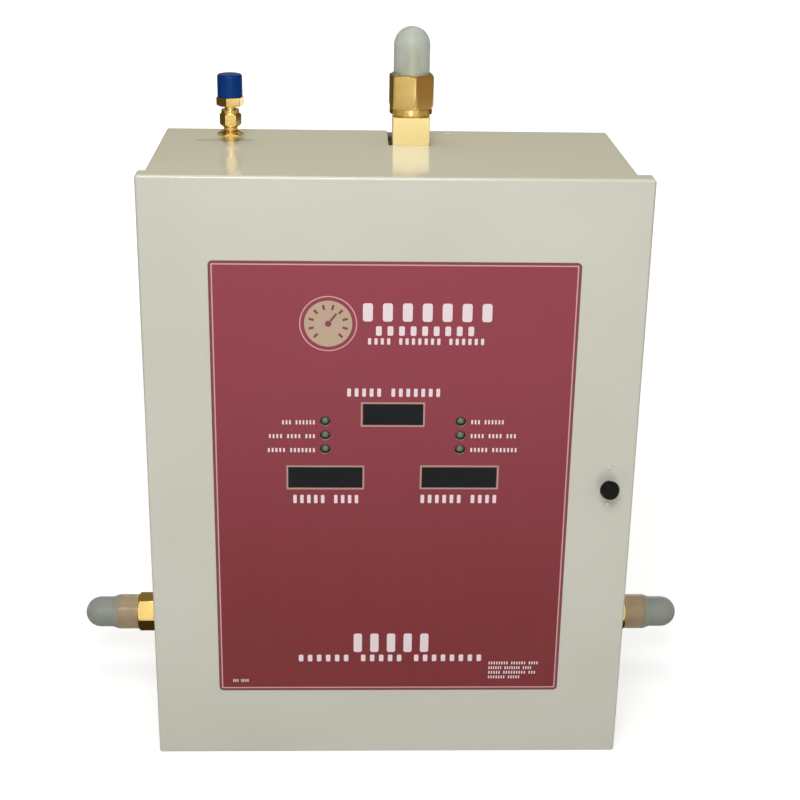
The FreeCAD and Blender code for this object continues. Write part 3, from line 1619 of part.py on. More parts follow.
def check_and_export():
    """Stop on any failed object or bad shape, and only then write one file for each node."""
    for item in doc.Objects:
        if "Invalid" in item.State or "Error" in item.State:
            raise RuntimeError(f"{item.Label} failed: {item.State}")
    shapes = {}
    for name in NODES:
        shape = doc.getObject(name).Shape
        if shape.isNull() or not shape.isValid() or not shape.Solids:
            raise RuntimeError(f"{name} has no valid solid")
        shapes[name] = shape
    os.makedirs("parts", exist_ok=True)
    for name, shape in shapes.items():
        shape.exportStep(f"parts/{name}.step")


build()
check_and_export()
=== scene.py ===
import math

import bpy
import numpy as np
from mathutils import Matrix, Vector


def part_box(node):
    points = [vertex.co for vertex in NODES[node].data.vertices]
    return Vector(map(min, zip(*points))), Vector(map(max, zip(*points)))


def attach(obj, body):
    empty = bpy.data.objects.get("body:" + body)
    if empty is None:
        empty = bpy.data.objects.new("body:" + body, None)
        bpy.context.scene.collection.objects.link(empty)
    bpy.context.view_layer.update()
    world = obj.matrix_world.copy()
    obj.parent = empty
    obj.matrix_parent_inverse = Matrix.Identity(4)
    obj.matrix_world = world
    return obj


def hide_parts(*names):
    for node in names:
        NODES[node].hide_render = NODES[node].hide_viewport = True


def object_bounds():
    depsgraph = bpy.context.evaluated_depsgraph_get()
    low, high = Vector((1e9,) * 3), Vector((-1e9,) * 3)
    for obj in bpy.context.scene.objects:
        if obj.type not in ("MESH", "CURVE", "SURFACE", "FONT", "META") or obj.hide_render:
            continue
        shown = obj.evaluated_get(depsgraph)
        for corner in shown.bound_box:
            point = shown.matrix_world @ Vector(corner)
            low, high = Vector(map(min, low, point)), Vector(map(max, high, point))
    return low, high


# The finish of a wall-mounted oxygen manifold: paint, printed panel, brass, plastic caps, and the
# stage it stands on. Lengths are metres, X is to the right, Z is up, and the front faces -Y.

bl_info = {
    "name": "Oxygen Manifold",
    "version": (1, 0, 0),
    "blender": (4, 5, 0),
    "location": "3D View > Sidebar > Manifold",
    "description": "Finishes, prints and stages a wall-mounted oxygen manifold",
    "category": "Object",
}

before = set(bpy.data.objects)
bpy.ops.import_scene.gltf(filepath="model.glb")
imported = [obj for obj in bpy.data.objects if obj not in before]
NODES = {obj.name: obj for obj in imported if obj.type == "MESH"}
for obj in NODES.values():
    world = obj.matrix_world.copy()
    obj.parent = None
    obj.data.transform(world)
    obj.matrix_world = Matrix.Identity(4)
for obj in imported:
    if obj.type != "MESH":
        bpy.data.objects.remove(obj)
CAD_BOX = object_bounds()

MM = 0.001
TURN = 2.0 * math.pi


def screen(red, green, blue):
    """Linear colour of a screen colour in 0 to 255: the usual curve, a power of 2.4 past its toe."""
    values = np.array([red, green, blue]) / 255.0
    linear = np.where(values > 0.04045, ((values + 0.055) / 1.055) ** 2.4, values / 12.92)
    return tuple(float(value) for value in linear)


def colour_of(name, description, red, green, blue):
    """A colour that the user can set, given as a screen colour."""
    return bpy.props.FloatVectorProperty(
        name=name, description=description, default=screen(red, green, blue), size=3, min=0.0, max=1.0,
        subtype="COLOR",
    )


def length_of(name, description, millimetres):
    """A length that the user can set, given in millimetres."""
    return bpy.props.FloatProperty(
        name=name, description=description, default=millimetres * MM, min=0.0, unit="LENGTH", precision=5
    )


class ManifoldColours(bpy.types.PropertyGroup):
    """Colours of the finishes."""

    paint: colour_of("Paint", "Cream powder coat of the cabinet and door", 209, 207, 194)
    paint_shade: colour_of("Paint shade", "Where the cream coat is a little darker", 203, 201, 187)
    crimson: colour_of("Crimson", "Printed film on the door", 144, 58, 72)
    # Painted shade: the film's colour lower down, darker as if less light falls there
    crimson_painted_shade: colour_of("Crimson painted shade", "Painted shade on the film lower down, where less light falls", 121, 38, 42)
    crimson_edge: colour_of("Crimson edge", "Band along the film's edge", 118, 52, 58)
    pink_line: colour_of("Pink line", "Fine line inside the band", 214, 158, 160)
    beige_line: colour_of("Beige line", "Frames round the displays", 178, 148, 134)
    beige_disc: colour_of("Beige disc", "Disc of the emblem", 190, 164, 140)
    print_white: colour_of("Print", "Captions", 240, 222, 226)
    top_print: colour_of("Top print", "Grey marks on the cabinet's top", 140, 138, 136)
    brass: colour_of("Brass", "Turned brass", 239, 211, 136)
    brass_shade: colour_of("Brass shade", "Older tone of the brass", 222, 178, 96)
    block_brass: colour_of("Block brass", "Sawn brass bar", 238, 218, 155)
    milky: colour_of("Milky", "Thin soft plastic of the side caps", 190, 194, 188)
    # Painted light: the brass thread's warm light as it shows through the side caps' skirts
    milky_painted_brass_light: colour_of("Milky with painted brass light", "The side caps' skirts, over brass", 226, 217, 195)
    # Painted light: the same plastic as the side caps, made paler as the outlet's cap is lit more
    milky_painted_lit: colour_of("Milky, painted lit", "The outlet's cap, painted paler as it is lit more", 216, 221, 214)
    blue: colour_of("Blue", "Vent cap", 2, 52, 120)
    black: colour_of("Black", "Latch knob", 14, 14, 12)
    primer: colour_of("Primer", "Where the top's rear edge is chipped", 236, 236, 228)
    lens: colour_of("Lens", "Indicator lenses, unlit", 114, 120, 106)


class ManifoldSizes(bpy.types.PropertyGroup):
    """Lengths of what is printed and added."""

    print_proud: length_of("Print height", "How far print stands off the film", 0.08)
    border_width: length_of("Border width", "Dark band along the film's edge", 2.4)
    line_width: length_of("Line width", "Fine pink line inside the band", 1.2)
    film_corner: length_of("Film corner", "Radius of the film's corners", 4.0)
    frame_width: length_of("Frame width", "Beige frames round the displays", 1.5)
    emblem_radius: length_of("Emblem radius", "Outer radius of the emblem's ring", 25.5)
    emblem_ring: length_of("Emblem ring", "Width of the emblem's ring", 1.1)
    disc_radius: length_of("Disc radius", "Radius of the emblem's disc", 21.2)
    edge_round: length_of("Edge round", "How far the light softens machined edges", 0.35)
    thread_pitch: length_of("Thread pitch", "Distance from one turn of a thread to the next", 1.8)
    thread_depth: length_of("Thread depth", "Depth of the threads", 1.0)
    thread_relief: length_of("Thread relief", "Groove between a hexagon and its thread", 1.5)
    inlet_shank: length_of("Inlet shank", "Width of the inlets' shanks", 24.0)
    inlet_flats: length_of("Inlet flats", "Width across the flats of the inlets' hexagons", 34.9)
    inlet_hexagon: length_of("Inlet hexagon", "Length of the inlets' hexagons", 27.0)
    inlet_thread: length_of("Inlet thread", "Width of the inlets' threads", 33.2)
    inlet_male: length_of("Inlet male end", "Length of the inlets' threaded ends", 22.0)
    inlet_bore: length_of("Inlet bore", "Width of the inlets' bores", 14.0)
    vent_stem: length_of("Vent stem", "Width of the vent adaptor's stem", 10.4)
    vent_flats: length_of("Vent flats", "Width across the flats of the vent adaptor's hexagon", 22.9)
    vent_hexagon: length_of("Vent hexagon", "Height of the vent adaptor's hexagon", 8.2)
    vent_thread: length_of("Vent thread", "Width of the vent adaptor's thread", 20.0)
    vent_male: length_of("Vent male end", "Length of the vent adaptor's threaded end", 17.5)
    vent_bore: length_of("Vent bore", "Width of the vent adaptor's bore", 6.0)
    nut_flats: length_of("Nut flats", "Width across the flats of the union nut", 38.1)
    nut_collar: length_of("Nut collar", "Width of the round collar below its hexagon", 40.6)
    nut_foot: length_of("Nut foot", "Width of the union nut at its foot", 36.6)
    nut_foot_height: length_of("Nut foot height", "Height of the cone at its foot", 2.0)
    nut_ledge: length_of("Nut ledge", "Height of the collar's top above the foot", 6.9)
    nut_cone: length_of("Nut cone", "Height over which its corners are cut off at the bottom", 3.1)
    nut_floor: length_of("Nut floor", "Thickness of the nut's floor", 9.0)
    nut_bore: length_of("Nut bore", "Width of the nut's bore between its threads", 33.4)
    nut_hole: length_of("Nut hole", "Width of the hole in the nut's floor", 20.1)
    rivet_radius: length_of("Rivet radius", "Radius of the latch plate's rivets", 2.0)
    rivet_spread: length_of("Rivet spread", "From the latch plate's middle to each rivet", 18.3)


def sizes():
    return bpy.context.scene.manifold_sizes


def colours():
    return bpy.context.scene.manifold_colours


# Meshes


def new_piece(name, points, faces, material, slot, body, crease=None):
    """A finished piece from its points and faces, which rides on a body.

    With a crease, in degrees, it is shaded smooth and edges that fold by more stay sharp.
    """
    mesh = bpy.data.meshes.new(name)
    mesh.from_pydata(np.asarray(points, dtype=float).tolist(), [], faces)
    mesh.validate()
    mesh.materials.append(material)
    if crease is not None:
        mesh.shade_smooth()
        mesh.set_sharp_from_angle(angle=math.radians(crease))
    piece = bpy.data.objects.new(name, mesh)
    bpy.context.scene.collection.objects.link(piece)
    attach(piece, body)
    return piece


def rounded_outline(x_low, x_high, z_low, z_high, radius, steps=6):
    """Points round a rectangle with round corners, anticlockwise from the right side's top.

    Each corner is a quarter circle: its centre plus the radius times the cosine and sine of the angle.
    """
    angle = np.linspace(0.0, math.pi / 2, steps + 1)
    quarter = np.stack([np.cos(angle), np.sin(angle)], axis=1) * radius
    turned = [quarter, quarter[:, ::-1] * (-1, 1), -quarter, quarter[:, ::-1] * (1, -1)]
    centres = np.array([(x_high, z_high), (x_low, z_high), (x_low, z_low), (x_high, z_low)])
    centres += np.array([(-1, -1), (1, -1), (1, 1), (-1, 1)]) * radius
    return np.concatenate([centre + part for centre, part in zip(centres, turned)])


def circle_outline(x, z, radius, steps=96):
    """Points round a circle: its centre plus the radius times the cosine and sine of the angle."""
    angle = np.arange(steps) / steps * TURN
    return np.stack([x + np.cos(angle) * radius, z + np.sin(angle) * radius], axis=1)


def slabs(outlines, back, front, bevel=0.0):
    """Flat slabs from outlines in the XZ plane, each with a front face, a bevel and a wall.

    An outline stands at the front, drawn in towards its middle by the bevel, again as far behind the
    front as the bevel, and at the back. A front at a higher Y than the back turns the faces over.
    """
    step = bevel if front < back else -bevel
    points, faces, start = [], [], 0
    for outline in outlines:
        count = len(outline)
        index = np.arange(count)
        following = (index + 1) % count
        middle = outline.mean(axis=0)
        reach = np.abs(outline - middle).max(axis=0)
        loops = [(front, (reach - bevel) / reach)] if bevel else []
        loops += [(front + step, 1.0), (back, 1.0)]
        for depth, share in loops:
            loop = middle + (outline - middle) * share
            points.append(np.stack([loop[:, 0], np.full(count, depth), loop[:, 1]], axis=1))
        last = (len(loops) - 1) * count
        faces.append((start + index).tolist())
        faces.append((start + last + index[::-1]).tolist())
        for here in range(0, last, count):
            walls = np.stack([index + count, following + count, following, index], axis=1)
            faces.extend((start + here + walls).tolist())
        start += last + count
    if front > back:
        faces = [face[::-1] for face in faces]
    return np.concatenate(points), faces


def rings(pairs, back, front):
    """Flat frames from pairs of outer and inner outlines with as many points: four loops, joined in turn."""
    points, faces, start = [], [], 0
    for outer, inner in pairs:
        count = len(outer)
        index = np.arange(count)
        following = (index + 1) % count
        for outline, depth in ((outer, front), (inner, front), (inner, back), (outer, back)):
            points.append(np.stack([outline[:, 0], np.full(count, depth), outline[:, 1]], axis=1))
        for loop in range(4):
            here, there = start + loop * count, start + (loop + 1) % 4 * count
            quads = [here + index, here + following, there + following, there + index]
            faces.extend(np.stack(quads, axis=1).tolist())
        start += 4 * count
    return np.concatenate(points), faces


def turned_surface(radii, heights, start=0.0):
    """A ring-shaped surface round the Z axis: X and Y are the radius times the cosine and sine.

    Radii has a row for each station and a column for each angle, the first of them at the start angle.
    The last station joins the first.
    """
    stations, steps = radii.shape
    angle = start + np.arange(steps) / steps * TURN
    height = np.repeat(heights[:, None], steps, axis=1)
    points = np.stack([radii * np.cos(angle), radii * np.sin(angle), height], axis=-1).reshape(-1, 3)
    station, step = np.meshgrid(np.arange(stations), np.arange(steps), indexing="ij")
    above, beside = (station + 1) % stations, (step + 1) % steps
    quads = [station * steps + step, station * steps + beside, above * steps + beside, above * steps + step]
    return points, np.stack(quads, axis=-1).reshape(-1, 4).tolist()


def toward(points, axis):
    """Turns points made round Z to stand along another axis, without mirroring them."""
    x, y, z = points.T
    turned = {"+Z": (x, y, z), "+X": (z, x, y), "-X": (-z, x, -y), "-Y": (x, -z, y), "+Y": (-x, z, y)}
    return np.stack(turned[axis], axis=1)


# Effects that several materials share, each a group of nodes


def add_node(tree, kind, **settings):
    """A new shader node with its own settings."""
    node = tree.nodes.new(f"ShaderNode{kind}")
    for name, value in settings.items():
        setattr(node, name, value)
    return node


def fill(node, values):
    """Puts values into a node's inputs, by their names."""
    for name, value in values.items():
        node.inputs[name].default_value = value
    return node


def join(tree, *wires):
    """Links an output of one node to an input of another, for each wire."""
    for source, output, target, socket in wires:
        tree.links.new(source.outputs[output], target.inputs[socket])


def effect(name, inputs, outputs):
    """An empty node group with named sockets, and its group input and output."""
    group = bpy.data.node_groups.new(name, "ShaderNodeTree")
    for label, value in inputs.items():
        kind = "NodeSocketVector" if isinstance(value, tuple) else "NodeSocketFloat"
        socket = group.interface.new_socket(label, in_out="INPUT", socket_type=kind)
        socket.default_value = value
    for label, kind in outputs.items():
        group.interface.new_socket(label, in_out="OUTPUT", socket_type=kind)
    return group, group.nodes.new("NodeGroupInput"), group.nodes.new("NodeGroupOutput")


def make_grain():
    """Noise stretched by a scale along each axis, and its contrast between two levels."""
    inputs = {"Scale": (1.0, 1.0, 1.0), "Detail": 2.0, "Low": 0.3, "High": 0.7}
    outputs = {"Mask": "NodeSocketFloat", "Height": "NodeSocketFloat"}
    group, given, result = effect("Grain", inputs, outputs)
    place = add_node(group, "TexCoord")
    stretch = add_node(group, "VectorMath", operation="MULTIPLY")
    noise = fill(add_node(group, "TexNoise"), {"Scale": 1.0})
    level = add_node(group, "MapRange")
    join(
        group,
        (place, "Object", stretch, 0), (given, "Scale", stretch, 1),
        (stretch, "Vector", noise, "Vector"), (given, "Detail", noise, "Detail"),
        (given, "Low", level, "From Min"), (given, "High", level, "From Max"),
        (noise, "Fac", level, "Value"), (level, "Result", result, "Mask"), (noise, "Fac", result, "Height"),
    )
    return group


def make_edge_light():
    """A normal that is softened along edges, as far as a radius."""
    group, given, result = effect("Edge Light", {"Radius": 0.0005}, {"Normal": "NodeSocketVector"})
    bevel = add_node(group, "Bevel", samples=4)
    join(group, (given, "Radius", bevel, "Radius"), (bevel, "Normal", result, "Normal"))
    return group


def make_span(name, first, second):
    """A mask between two places, with a soft start and end.

    Rise grows from 0 to 1 with the height. Reach falls from 1 to 0 with the distance from the middle,
    sideways.
    """
    group, given, result = effect(name, {first: 0.0, second: 1.0}, {"Mask": "NodeSocketFloat"})
    place = add_node(group, "TexCoord")
    parts = add_node(group, "SeparateXYZ")
    level = add_node(group, "MapRange", interpolation_type="SMOOTHSTEP")
    join(
        group,
        (place, "Object", parts, "Vector"), (given, first, level, "From Min"),
        (given, second, level, "From Max"), (level, "Result", result, "Mask"),
    )
    if name == "Rise":
        join(group, (parts, "Z", level, "Value"))
    else:
        aside = add_node(group, "Math", operation="ABSOLUTE")
        fill(level, {"To Min": 1.0, "To Max": 0.0})
        join(group, (parts, "X", aside, 0), (aside, "Value", level, "Value"))
    return group


def make_spangle():
    """Crystals of zinc: cells of random tone, each a few millimetres across."""
    outputs = {"Mask": "NodeSocketFloat", "Height": "NodeSocketFloat"}
    group, given, result = effect("Spangle", {"Scale": 120.0}, outputs)
    place = add_node(group, "TexCoord")
    cells = add_node(group, "TexVoronoi")
    tone = add_node(group, "SeparateColor")
    join(
        group,
        (place, "Object", cells, "Vector"), (given, "Scale", cells, "Scale"),
        (cells, "Color", tone, "Color"), (tone, "Red", result, "Mask"), (tone, "Green", result, "Height"),
    )
    return group


EFFECTS = {
    "Grain": make_grain,
    "Edge Light": make_edge_light,
    "Rise": lambda: make_span("Rise", "Low", "High"),
    "Reach": lambda: make_span("Reach", "Near", "Far"),
    "Spangle": make_spangle,
}


class Finish:
    """A material in the making: its shader and the effects that feed it."""

    def __init__(self, name, colour, roughness, **settings):
        """The settings are the shader's own sockets, with underscores for the spaces in their names."""
        self.material = bpy.data.materials.new(name)
        self.material.use_nodes = True
        self.tree = self.material.node_tree
        self.shader = self.tree.nodes["Principled BSDF"]
        fill(self.shader, {"Base Color": (*colour, 1.0), "Roughness": roughness})
        fill(self.shader, {label.replace("_", " "): value for label, value in settings.items()})
        self.tone = None
        self.normal = None

    def add(self, name, **values):
        """One of the shared effects with its own values, made the first time it is asked for."""
        group = bpy.data.node_groups.get(name) or EFFECTS[name]()
        return fill(add_node(self.tree, "Group", node_tree=group), values)

    def grain(self, scale, detail=2.0, low=0.3, high=0.7):
        """The mask and the height of noise with one scale, or one for each axis."""
        scales = scale if isinstance(scale, tuple) else (scale, scale, scale)
        node = self.add("Grain", Scale=scales, Detail=detail, Low=low, High=high)
        return node.outputs["Mask"], node.outputs["Height"]

    def tint(self, mask, colour, share=1.0):
        """Mixes another colour in where the mask is high, by a share."""
        link = self.tree.links.new
        if share < 1.0:
            part = add_node(self.tree, "Math", operation="MULTIPLY")
            part.inputs[1].default_value = share
            link(mask, part.inputs[0])
            mask = part.outputs["Value"]
        base = self.shader.inputs["Base Color"]
        mix = add_node(self.tree, "Mix", data_type="RGBA")
        if self.tone is None:
            mix.inputs["A"].default_value = tuple(base.default_value)
        else:
            link(self.tone, mix.inputs["A"])
        mix.inputs["B"].default_value = (*colour, 1.0)
        link(mask, mix.inputs["Factor"])
        self.tone = mix.outputs["Result"]
        link(self.tone, base)
        return self

    def rough(self, mask, low, high):
        """Roughness that runs from low to high with the mask."""
        span = fill(add_node(self.tree, "MapRange"), {"To Min": low, "To Max": high})
        self.tree.links.new(mask, span.inputs["Value"])
        join(self.tree, (span, "Result", self.shader, "Roughness"))
        return self

    def bump(self, height, depth):
        """Relief as deep as depth, in millimetres, from a height between 0 and 1."""
        bump = fill(add_node(self.tree, "Bump"), {"Distance": depth * MM, "Strength": 1.0})
        self.tree.links.new(height, bump.inputs["Height"])
        if self.normal is not None:
            self.tree.links.new(self.normal, bump.inputs["Normal"])
        self.lean(bump)
        return self

    def soften(self):
        """Rounds the light on machined edges."""
        self.lean(self.add("Edge Light", Radius=sizes().edge_round))

    def lean(self, node):
        """Takes the shader's normal from a node."""
        self.normal = node.outputs["Normal"]
        self.tree.links.new(self.normal, self.shader.inputs["Normal"])


def darker(colour, share):
    return tuple(value * share for value in colour)


def across(fine, coarse, axis):
    """Grain scales that are fine along one axis and coarse along the others."""
    return tuple(fine if index == axis else coarse for index in range(3))


def surface(name, colour, shade, rough, broad, fine=None, depth=0.0, share=1.0, machined=False, **settings):
    """A finish in the usual way.

    A broad grain mixes a share of the shade in and takes the roughness from its low to its high value.
    A fine grain gives relief as deep as the depth, in millimetres. Machined edges are softly lit.
    """
    finish = Finish(name, colour, sum(rough) / 2, **settings)
    if machined:
        finish.soften()
    mask = finish.grain(*broad)[0]
    finish.tint(mask, shade, share).rough(mask, *rough)
    if fine is not None:
        finish.bump(finish.grain(*fine)[1], depth)
    return finish.material


# Finishes

# Distances from the middle between which a side cap's skirt ends, and its painted brass light with it
SKIRT_NEAR = 270.0 * MM
SKIRT_FAR = 285.0 * MM
# How much darker the side inlets' brass is painted, as shade; it is the same brass as the others
SIDE_PAINTED_SHADE = 0.8
# Heights between which the film's painted shade lower down gives way to its own crimson
FILM_DARK = -200.0 * MM
FILM_LIGHT = 180.0 * MM


def cream_paint():
    """Semi-gloss powder coat: a faint orange peel under a clear gloss."""
    shades = colours()
    return surface(
        "Cream powder coat", shades.paint, shades.paint_shade, (0.16, 0.24), (7.0,), (700.0,), 0.012,
        Coat_Weight=0.35, Coat_Roughness=0.06,
    )


def crimson_film():
    """Printed plastic film with a satin grain. Lower down it is painted darker, as shade where less light
    falls.
    """
    shades = colours()
    finish = Finish("Crimson film", shades.crimson_painted_shade, 0.36, Specular_IOR_Level=0.3)
    # Painted shade: the colour runs from the darker shade at the bottom to the crimson higher up
    finish.tint(finish.add("Rise", Low=FILM_DARK, High=FILM_LIGHT).outputs["Mask"], shades.crimson)
    finish.tint(finish.grain((90.0, 90.0, 6.0))[0], shades.crimson, 0.1)
    finish.rough(finish.grain(9.0, 3.0)[0], 0.32, 0.4)
    return finish.bump(finish.grain(2600.0, 1.0)[1], 0.006).material


def film_ink(name, colour):
    """Ink on the film: its own colour with the film's satin grain."""
    broad, fine = (2600.0, 1.0, 0.2, 0.8), (2600.0, 1.0)
    return surface(name, colour, darker(colour, 0.96), (0.36, 0.44), broad, fine, 0.004)


def turned_brass(axis, name, tone=1.0):
    """Brass turned on a lathe, with tool marks round one axis and softly lit edges."""
    shades = colours()
    # A tone below 1 paints the brass darker, as shade
    return surface(
        name, darker(shades.brass, tone), shades.brass_shade, (0.12, 0.22), (55.0, 4.0),
        (across(5200.0, 60.0, axis),), 0.008, 0.6, True, Metallic=1.0,
    )


def bar_brass():
    """Brass bar, drawn and machined, satin, with marks along its length."""
    shades = colours()
    return surface(
        "Bar brass", shades.block_brass, shades.brass, (0.34, 0.44), (40.0, 4.0, 0.3, 0.75),
        (across(60.0, 3800.0, 2),), 0.006, 0.4, True, Metallic=0.45,
    )


def plated_steel(name, colour, roughness, grain):
    """Plated or plain steel with a fine brushed grain along X."""
    return surface(
        name, colour, darker(colour, 0.85), (roughness * 0.85, roughness * 1.15), (60.0, 3.0),
        (across(grain * 0.03, grain, 0),), 0.005, machined=True, Metallic=1.0,
    )


def galvanised_sheet():
    """Hot-dipped zinc with its crystals."""
    finish = Finish("Galvanised sheet", screen(168, 172, 174), 0.4, Metallic=0.9)
    spangle = finish.add("Spangle", Scale=110.0)
    mask = spangle.outputs["Mask"]
    finish.tint(mask, screen(146, 151, 156)).rough(mask, 0.32, 0.5)
    return finish.bump(spangle.outputs["Height"], 0.01).material


def drawn_copper():
    """Copper tube, drawn, with a faint tarnish."""
    copper, tarnish = screen(208, 132, 92), screen(168, 96, 62)
    broad = (45.0, 5.0, 0.3, 0.75)
    return surface("Drawn copper", copper, tarnish, (0.2, 0.38), broad, (1500.0,), 0.004, Metallic=1.0)


def moulded_plastic(name, colour, roughness, grain=1400.0, depth=0.012, gloss=0.5):
    """Moulded plastic with a fine spark-eroded texture."""
    return surface(
        name, colour, darker(colour, 0.88), (roughness * 0.9, roughness * 1.12), (80.0,), (grain,), depth,
        Specular_IOR_Level=gloss,
    )


def milky_plastic(name, colour, clearness, warm=None):
    """Thin soft plastic that light passes through, so what it touches inside shows as a tint.

    A warm colour on the skirt that grips the thread is painted light: the brass inside as it shows through
    the plastic.
    """
    finish = Finish(name, colour, 0.3, Transmission_Weight=clearness, IOR=1.3)
    if warm is not None:
        # The skirt takes painted light from the brass inside
        finish.tint(finish.add("Reach", Near=SKIRT_NEAR, Far=SKIRT_FAR).outputs["Mask"], warm)
    finish.rough(finish.grain(60.0)[0], 0.28, 0.34)
    return finish.bump(finish.grain(900.0, 1.0)[1], 0.006).material


def window_glass():
    """Dark smoked plastic over the displays."""
    deep, pale = screen(6, 10, 10), screen(14, 19, 19)
    return surface("Display window", deep, pale, (0.12, 0.2), (50.0,), Specular_IOR_Level=0.14)


def lamp_lens(name):
    """A lens, unlit, with light scattered inside it."""
    lens = tuple(colours().lens)
    scatter = {"Subsurface_Weight": 0.3, "Subsurface_Scale": 0.001}
    return surface(name, lens, darker(lens, 0.85), (0.24, 0.34), (400.0, 1.0), **scatter)


def circuit_board():
    """Solder mask over copper tracks, which show as a lighter green."""
    finish = Finish("Circuit board", screen(24, 88, 52), 0.3)
    tracks = finish.grain(220.0, 0.0, 0.52, 0.54)[0]
    return finish.tint(tracks, screen(34, 112, 66)).rough(tracks, 0.26, 0.34).bump(tracks, 0.02).material


def finishes():
    """The finish of each of the record's slots."""
    shades = colours()
    return {
        "cream_powder_coat": cream_paint(),
        "galvanised_steel": galvanised_sheet(),
        "zinc_plated_steel": plated_steel("Zinc plate", screen(190, 190, 184), 0.28, 1800.0),
        "stainless_steel": plated_steel("Stainless steel", screen(184, 184, 182), 0.26, 2400.0),
        "fitting_brass": turned_brass(2, "Turned brass"),
        "block_brass": bar_brass(),
        "regulator_bonnet_nickel": plated_steel("Nickel plate", screen(198, 194, 184), 0.22, 1500.0),
        "copper_tube": drawn_copper(),
        "coil_black": moulded_plastic("Coil housing", screen(34, 34, 35), 0.42),
        "circuit_board_green": circuit_board(),
        "standoff_brass": plated_steel("Standoff brass", screen(214, 176, 104), 0.3, 2000.0),
        "terminal_green": moulded_plastic("Terminal housing", screen(46, 130, 84), 0.4),
        "crimson_overlay": crimson_film(),
        "display_window": window_glass(),
        "display_module": moulded_plastic("Display module", screen(38, 38, 40), 0.5),
        "green_lens": lamp_lens("Green lens"),
        "amber_lens": lamp_lens("Amber lens"),
        "red_lens": lamp_lens("Red lens"),
        "black_knob": moulded_plastic("Black knob", shades.black, 0.34, depth=0.006, gloss=0.1),
        "milky_cap": milky_plastic("Milky plastic, side caps", shades.milky, 0.75, shades.milky_painted_brass_light),
        "blue_cap": moulded_plastic("Blue cap", shades.blue, 0.3, depth=0.008, gloss=0.12),
    }


# The printed panel

# Takes the left, right, bottom and top of a rectangle inwards
INWARD = np.array([1.0, -1.0, 1.0, -1.0])


def film_faces():
    """Y of the film's front and of the front of what is printed on it."""
    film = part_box("label_overlay")[0].y
    return film, film - sizes().print_proud


def print_on_film(name, mesh, ink, colour):
    """A printed piece in an ink of its own."""
    new_piece(name, *mesh, film_ink(ink, colour), "crimson_overlay", "door")


# What is printed on the film, in metres from the cabinet's centre: left, right, bottom, top, and how
# many marks each word-like group has. The marks are plain blocks.
PRINTED_ROWS = [
    (-38.9, 44.1, 86.8, 94.6, (5, 7)),
    (-97.2, -68.0, 59.8, 63.9, (3, 6)),
    (-109.2, -68.0, 46.4, 50.3, (4, 4, 3)),
    (-110.3, -68.0, 32.7, 36.8, (5, 7)),
    (73.0, 102.3, 60.5, 64.6, (3, 6)),
    (73.0, 113.8, 47.0, 51.0, (4, 4, 3)),
    (73.0, 115.1, 33.3, 37.4, (5, 7)),
    (-87.8, -28.4, -18.0, -9.7, (5, 4)),
    (28.8, 98.4, -17.7, -9.4, (6, 4)),
    (-25.5, 88.2, 157.5, 174.3, (7,)),
    (-13.9, 72.7, 144.4, 153.2, (9,)),
    (-20.8, 81.9, 136.1, 142.0, (4, 7, 6)),
    (-31.7, 39.5, -174.2, -154.2, (5,)),
    (-83.8, 90.4, -184.3, -177.1, (6, 5, 8)),
]
SMALL_ROWS = [
    (97.9, 145.1, -188.0, -184.9, (8, 6, 4)),
    (97.9, 139.0, -193.2, -190.1, (6, 7, 4)),
    (97.9, 143.0, -198.3, -195.2, (5, 9, 3)),
    (97.9, 128.0, -203.4, -200.3, (7, 5)),
    (-146.8, -132.2, -206.7, -203.6, (3, 4)),
]
WORD_SPACE = 0.9
# Share of the pitch that a mark fills
MARK_SHARE = 0.5
# Radius of a mark's corners, as a share of its shorter side
MARK_CORNER = 0.25
# Radii of the corners at the band's inner edge and inside the fine line, as shares of the band's width
BAND_CORNER = 0.4
LINE_CORNER = 0.3


def row_marks(row):
    """Outlines of a row's blocks: groups of evenly spaced upright blocks with a gap between groups."""
    left, right, low, high = (value * MM for value in row[:4])
    words = row[4]
    cells = sum(words) + WORD_SPACE * (len(words) - 1) - (1 - MARK_SHARE)
    pitch = (right - left) / cells
    corner = min(pitch * MARK_SHARE, high - low) * MARK_CORNER
    outlines, start = [], left
    for count in words:
        for mark in range(count):
            x_low = start + mark * pitch
            outlines.append(rounded_outline(x_low, x_low + pitch * MARK_SHARE, low, high, corner, steps=3))
        start += (count + WORD_SPACE) * pitch
    return outlines


class MANIFOLD_OT_panel_print(bpy.types.Operator):
    """Prints the film: its border, its fine line, and blocks where captions stand"""

    bl_idname = "manifold.panel_print"
    bl_label = "Panel Print"

    def execute(self, context):
        given, shades = sizes(), colours()
        low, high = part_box("label_overlay")
        edges = np.array([low.x, high.x, low.z, high.z])
        band, faces = given.border_width, film_faces()
        outer = rounded_outline(*edges, given.film_corner)
        middle = rounded_outline(*(edges + INWARD * band), band * BAND_CORNER)
        inner = rounded_outline(*(edges + INWARD * (band + given.line_width)), band * LINE_CORNER)
        border, line = rings([(outer, middle)], *faces), rings([(middle, inner)], *faces)
        print_on_film("film_border", border, "Crimson edge ink", shades.crimson_edge)
        print_on_film("film_line", line, "Pink ink", shades.pink_line)
        outlines = [outline for row in PRINTED_ROWS + SMALL_ROWS for outline in row_marks(row)]
        print_on_film("caption_marks", slabs(outlines, *faces), "Caption ink", shades.print_white)
        return {"FINISHED"}


# Left, right, bottom and top of each display's frame
WINDOW_FRAMES = [
    (-26.6, 31.0, 57.8, 81.4),
    (-93.8, -23.1, -4.2, 19.6),
    (27.7, 99.7, -3.7, 20.0),
]
FRAME_CORNERS = (0.5 * MM, 0.2 * MM)


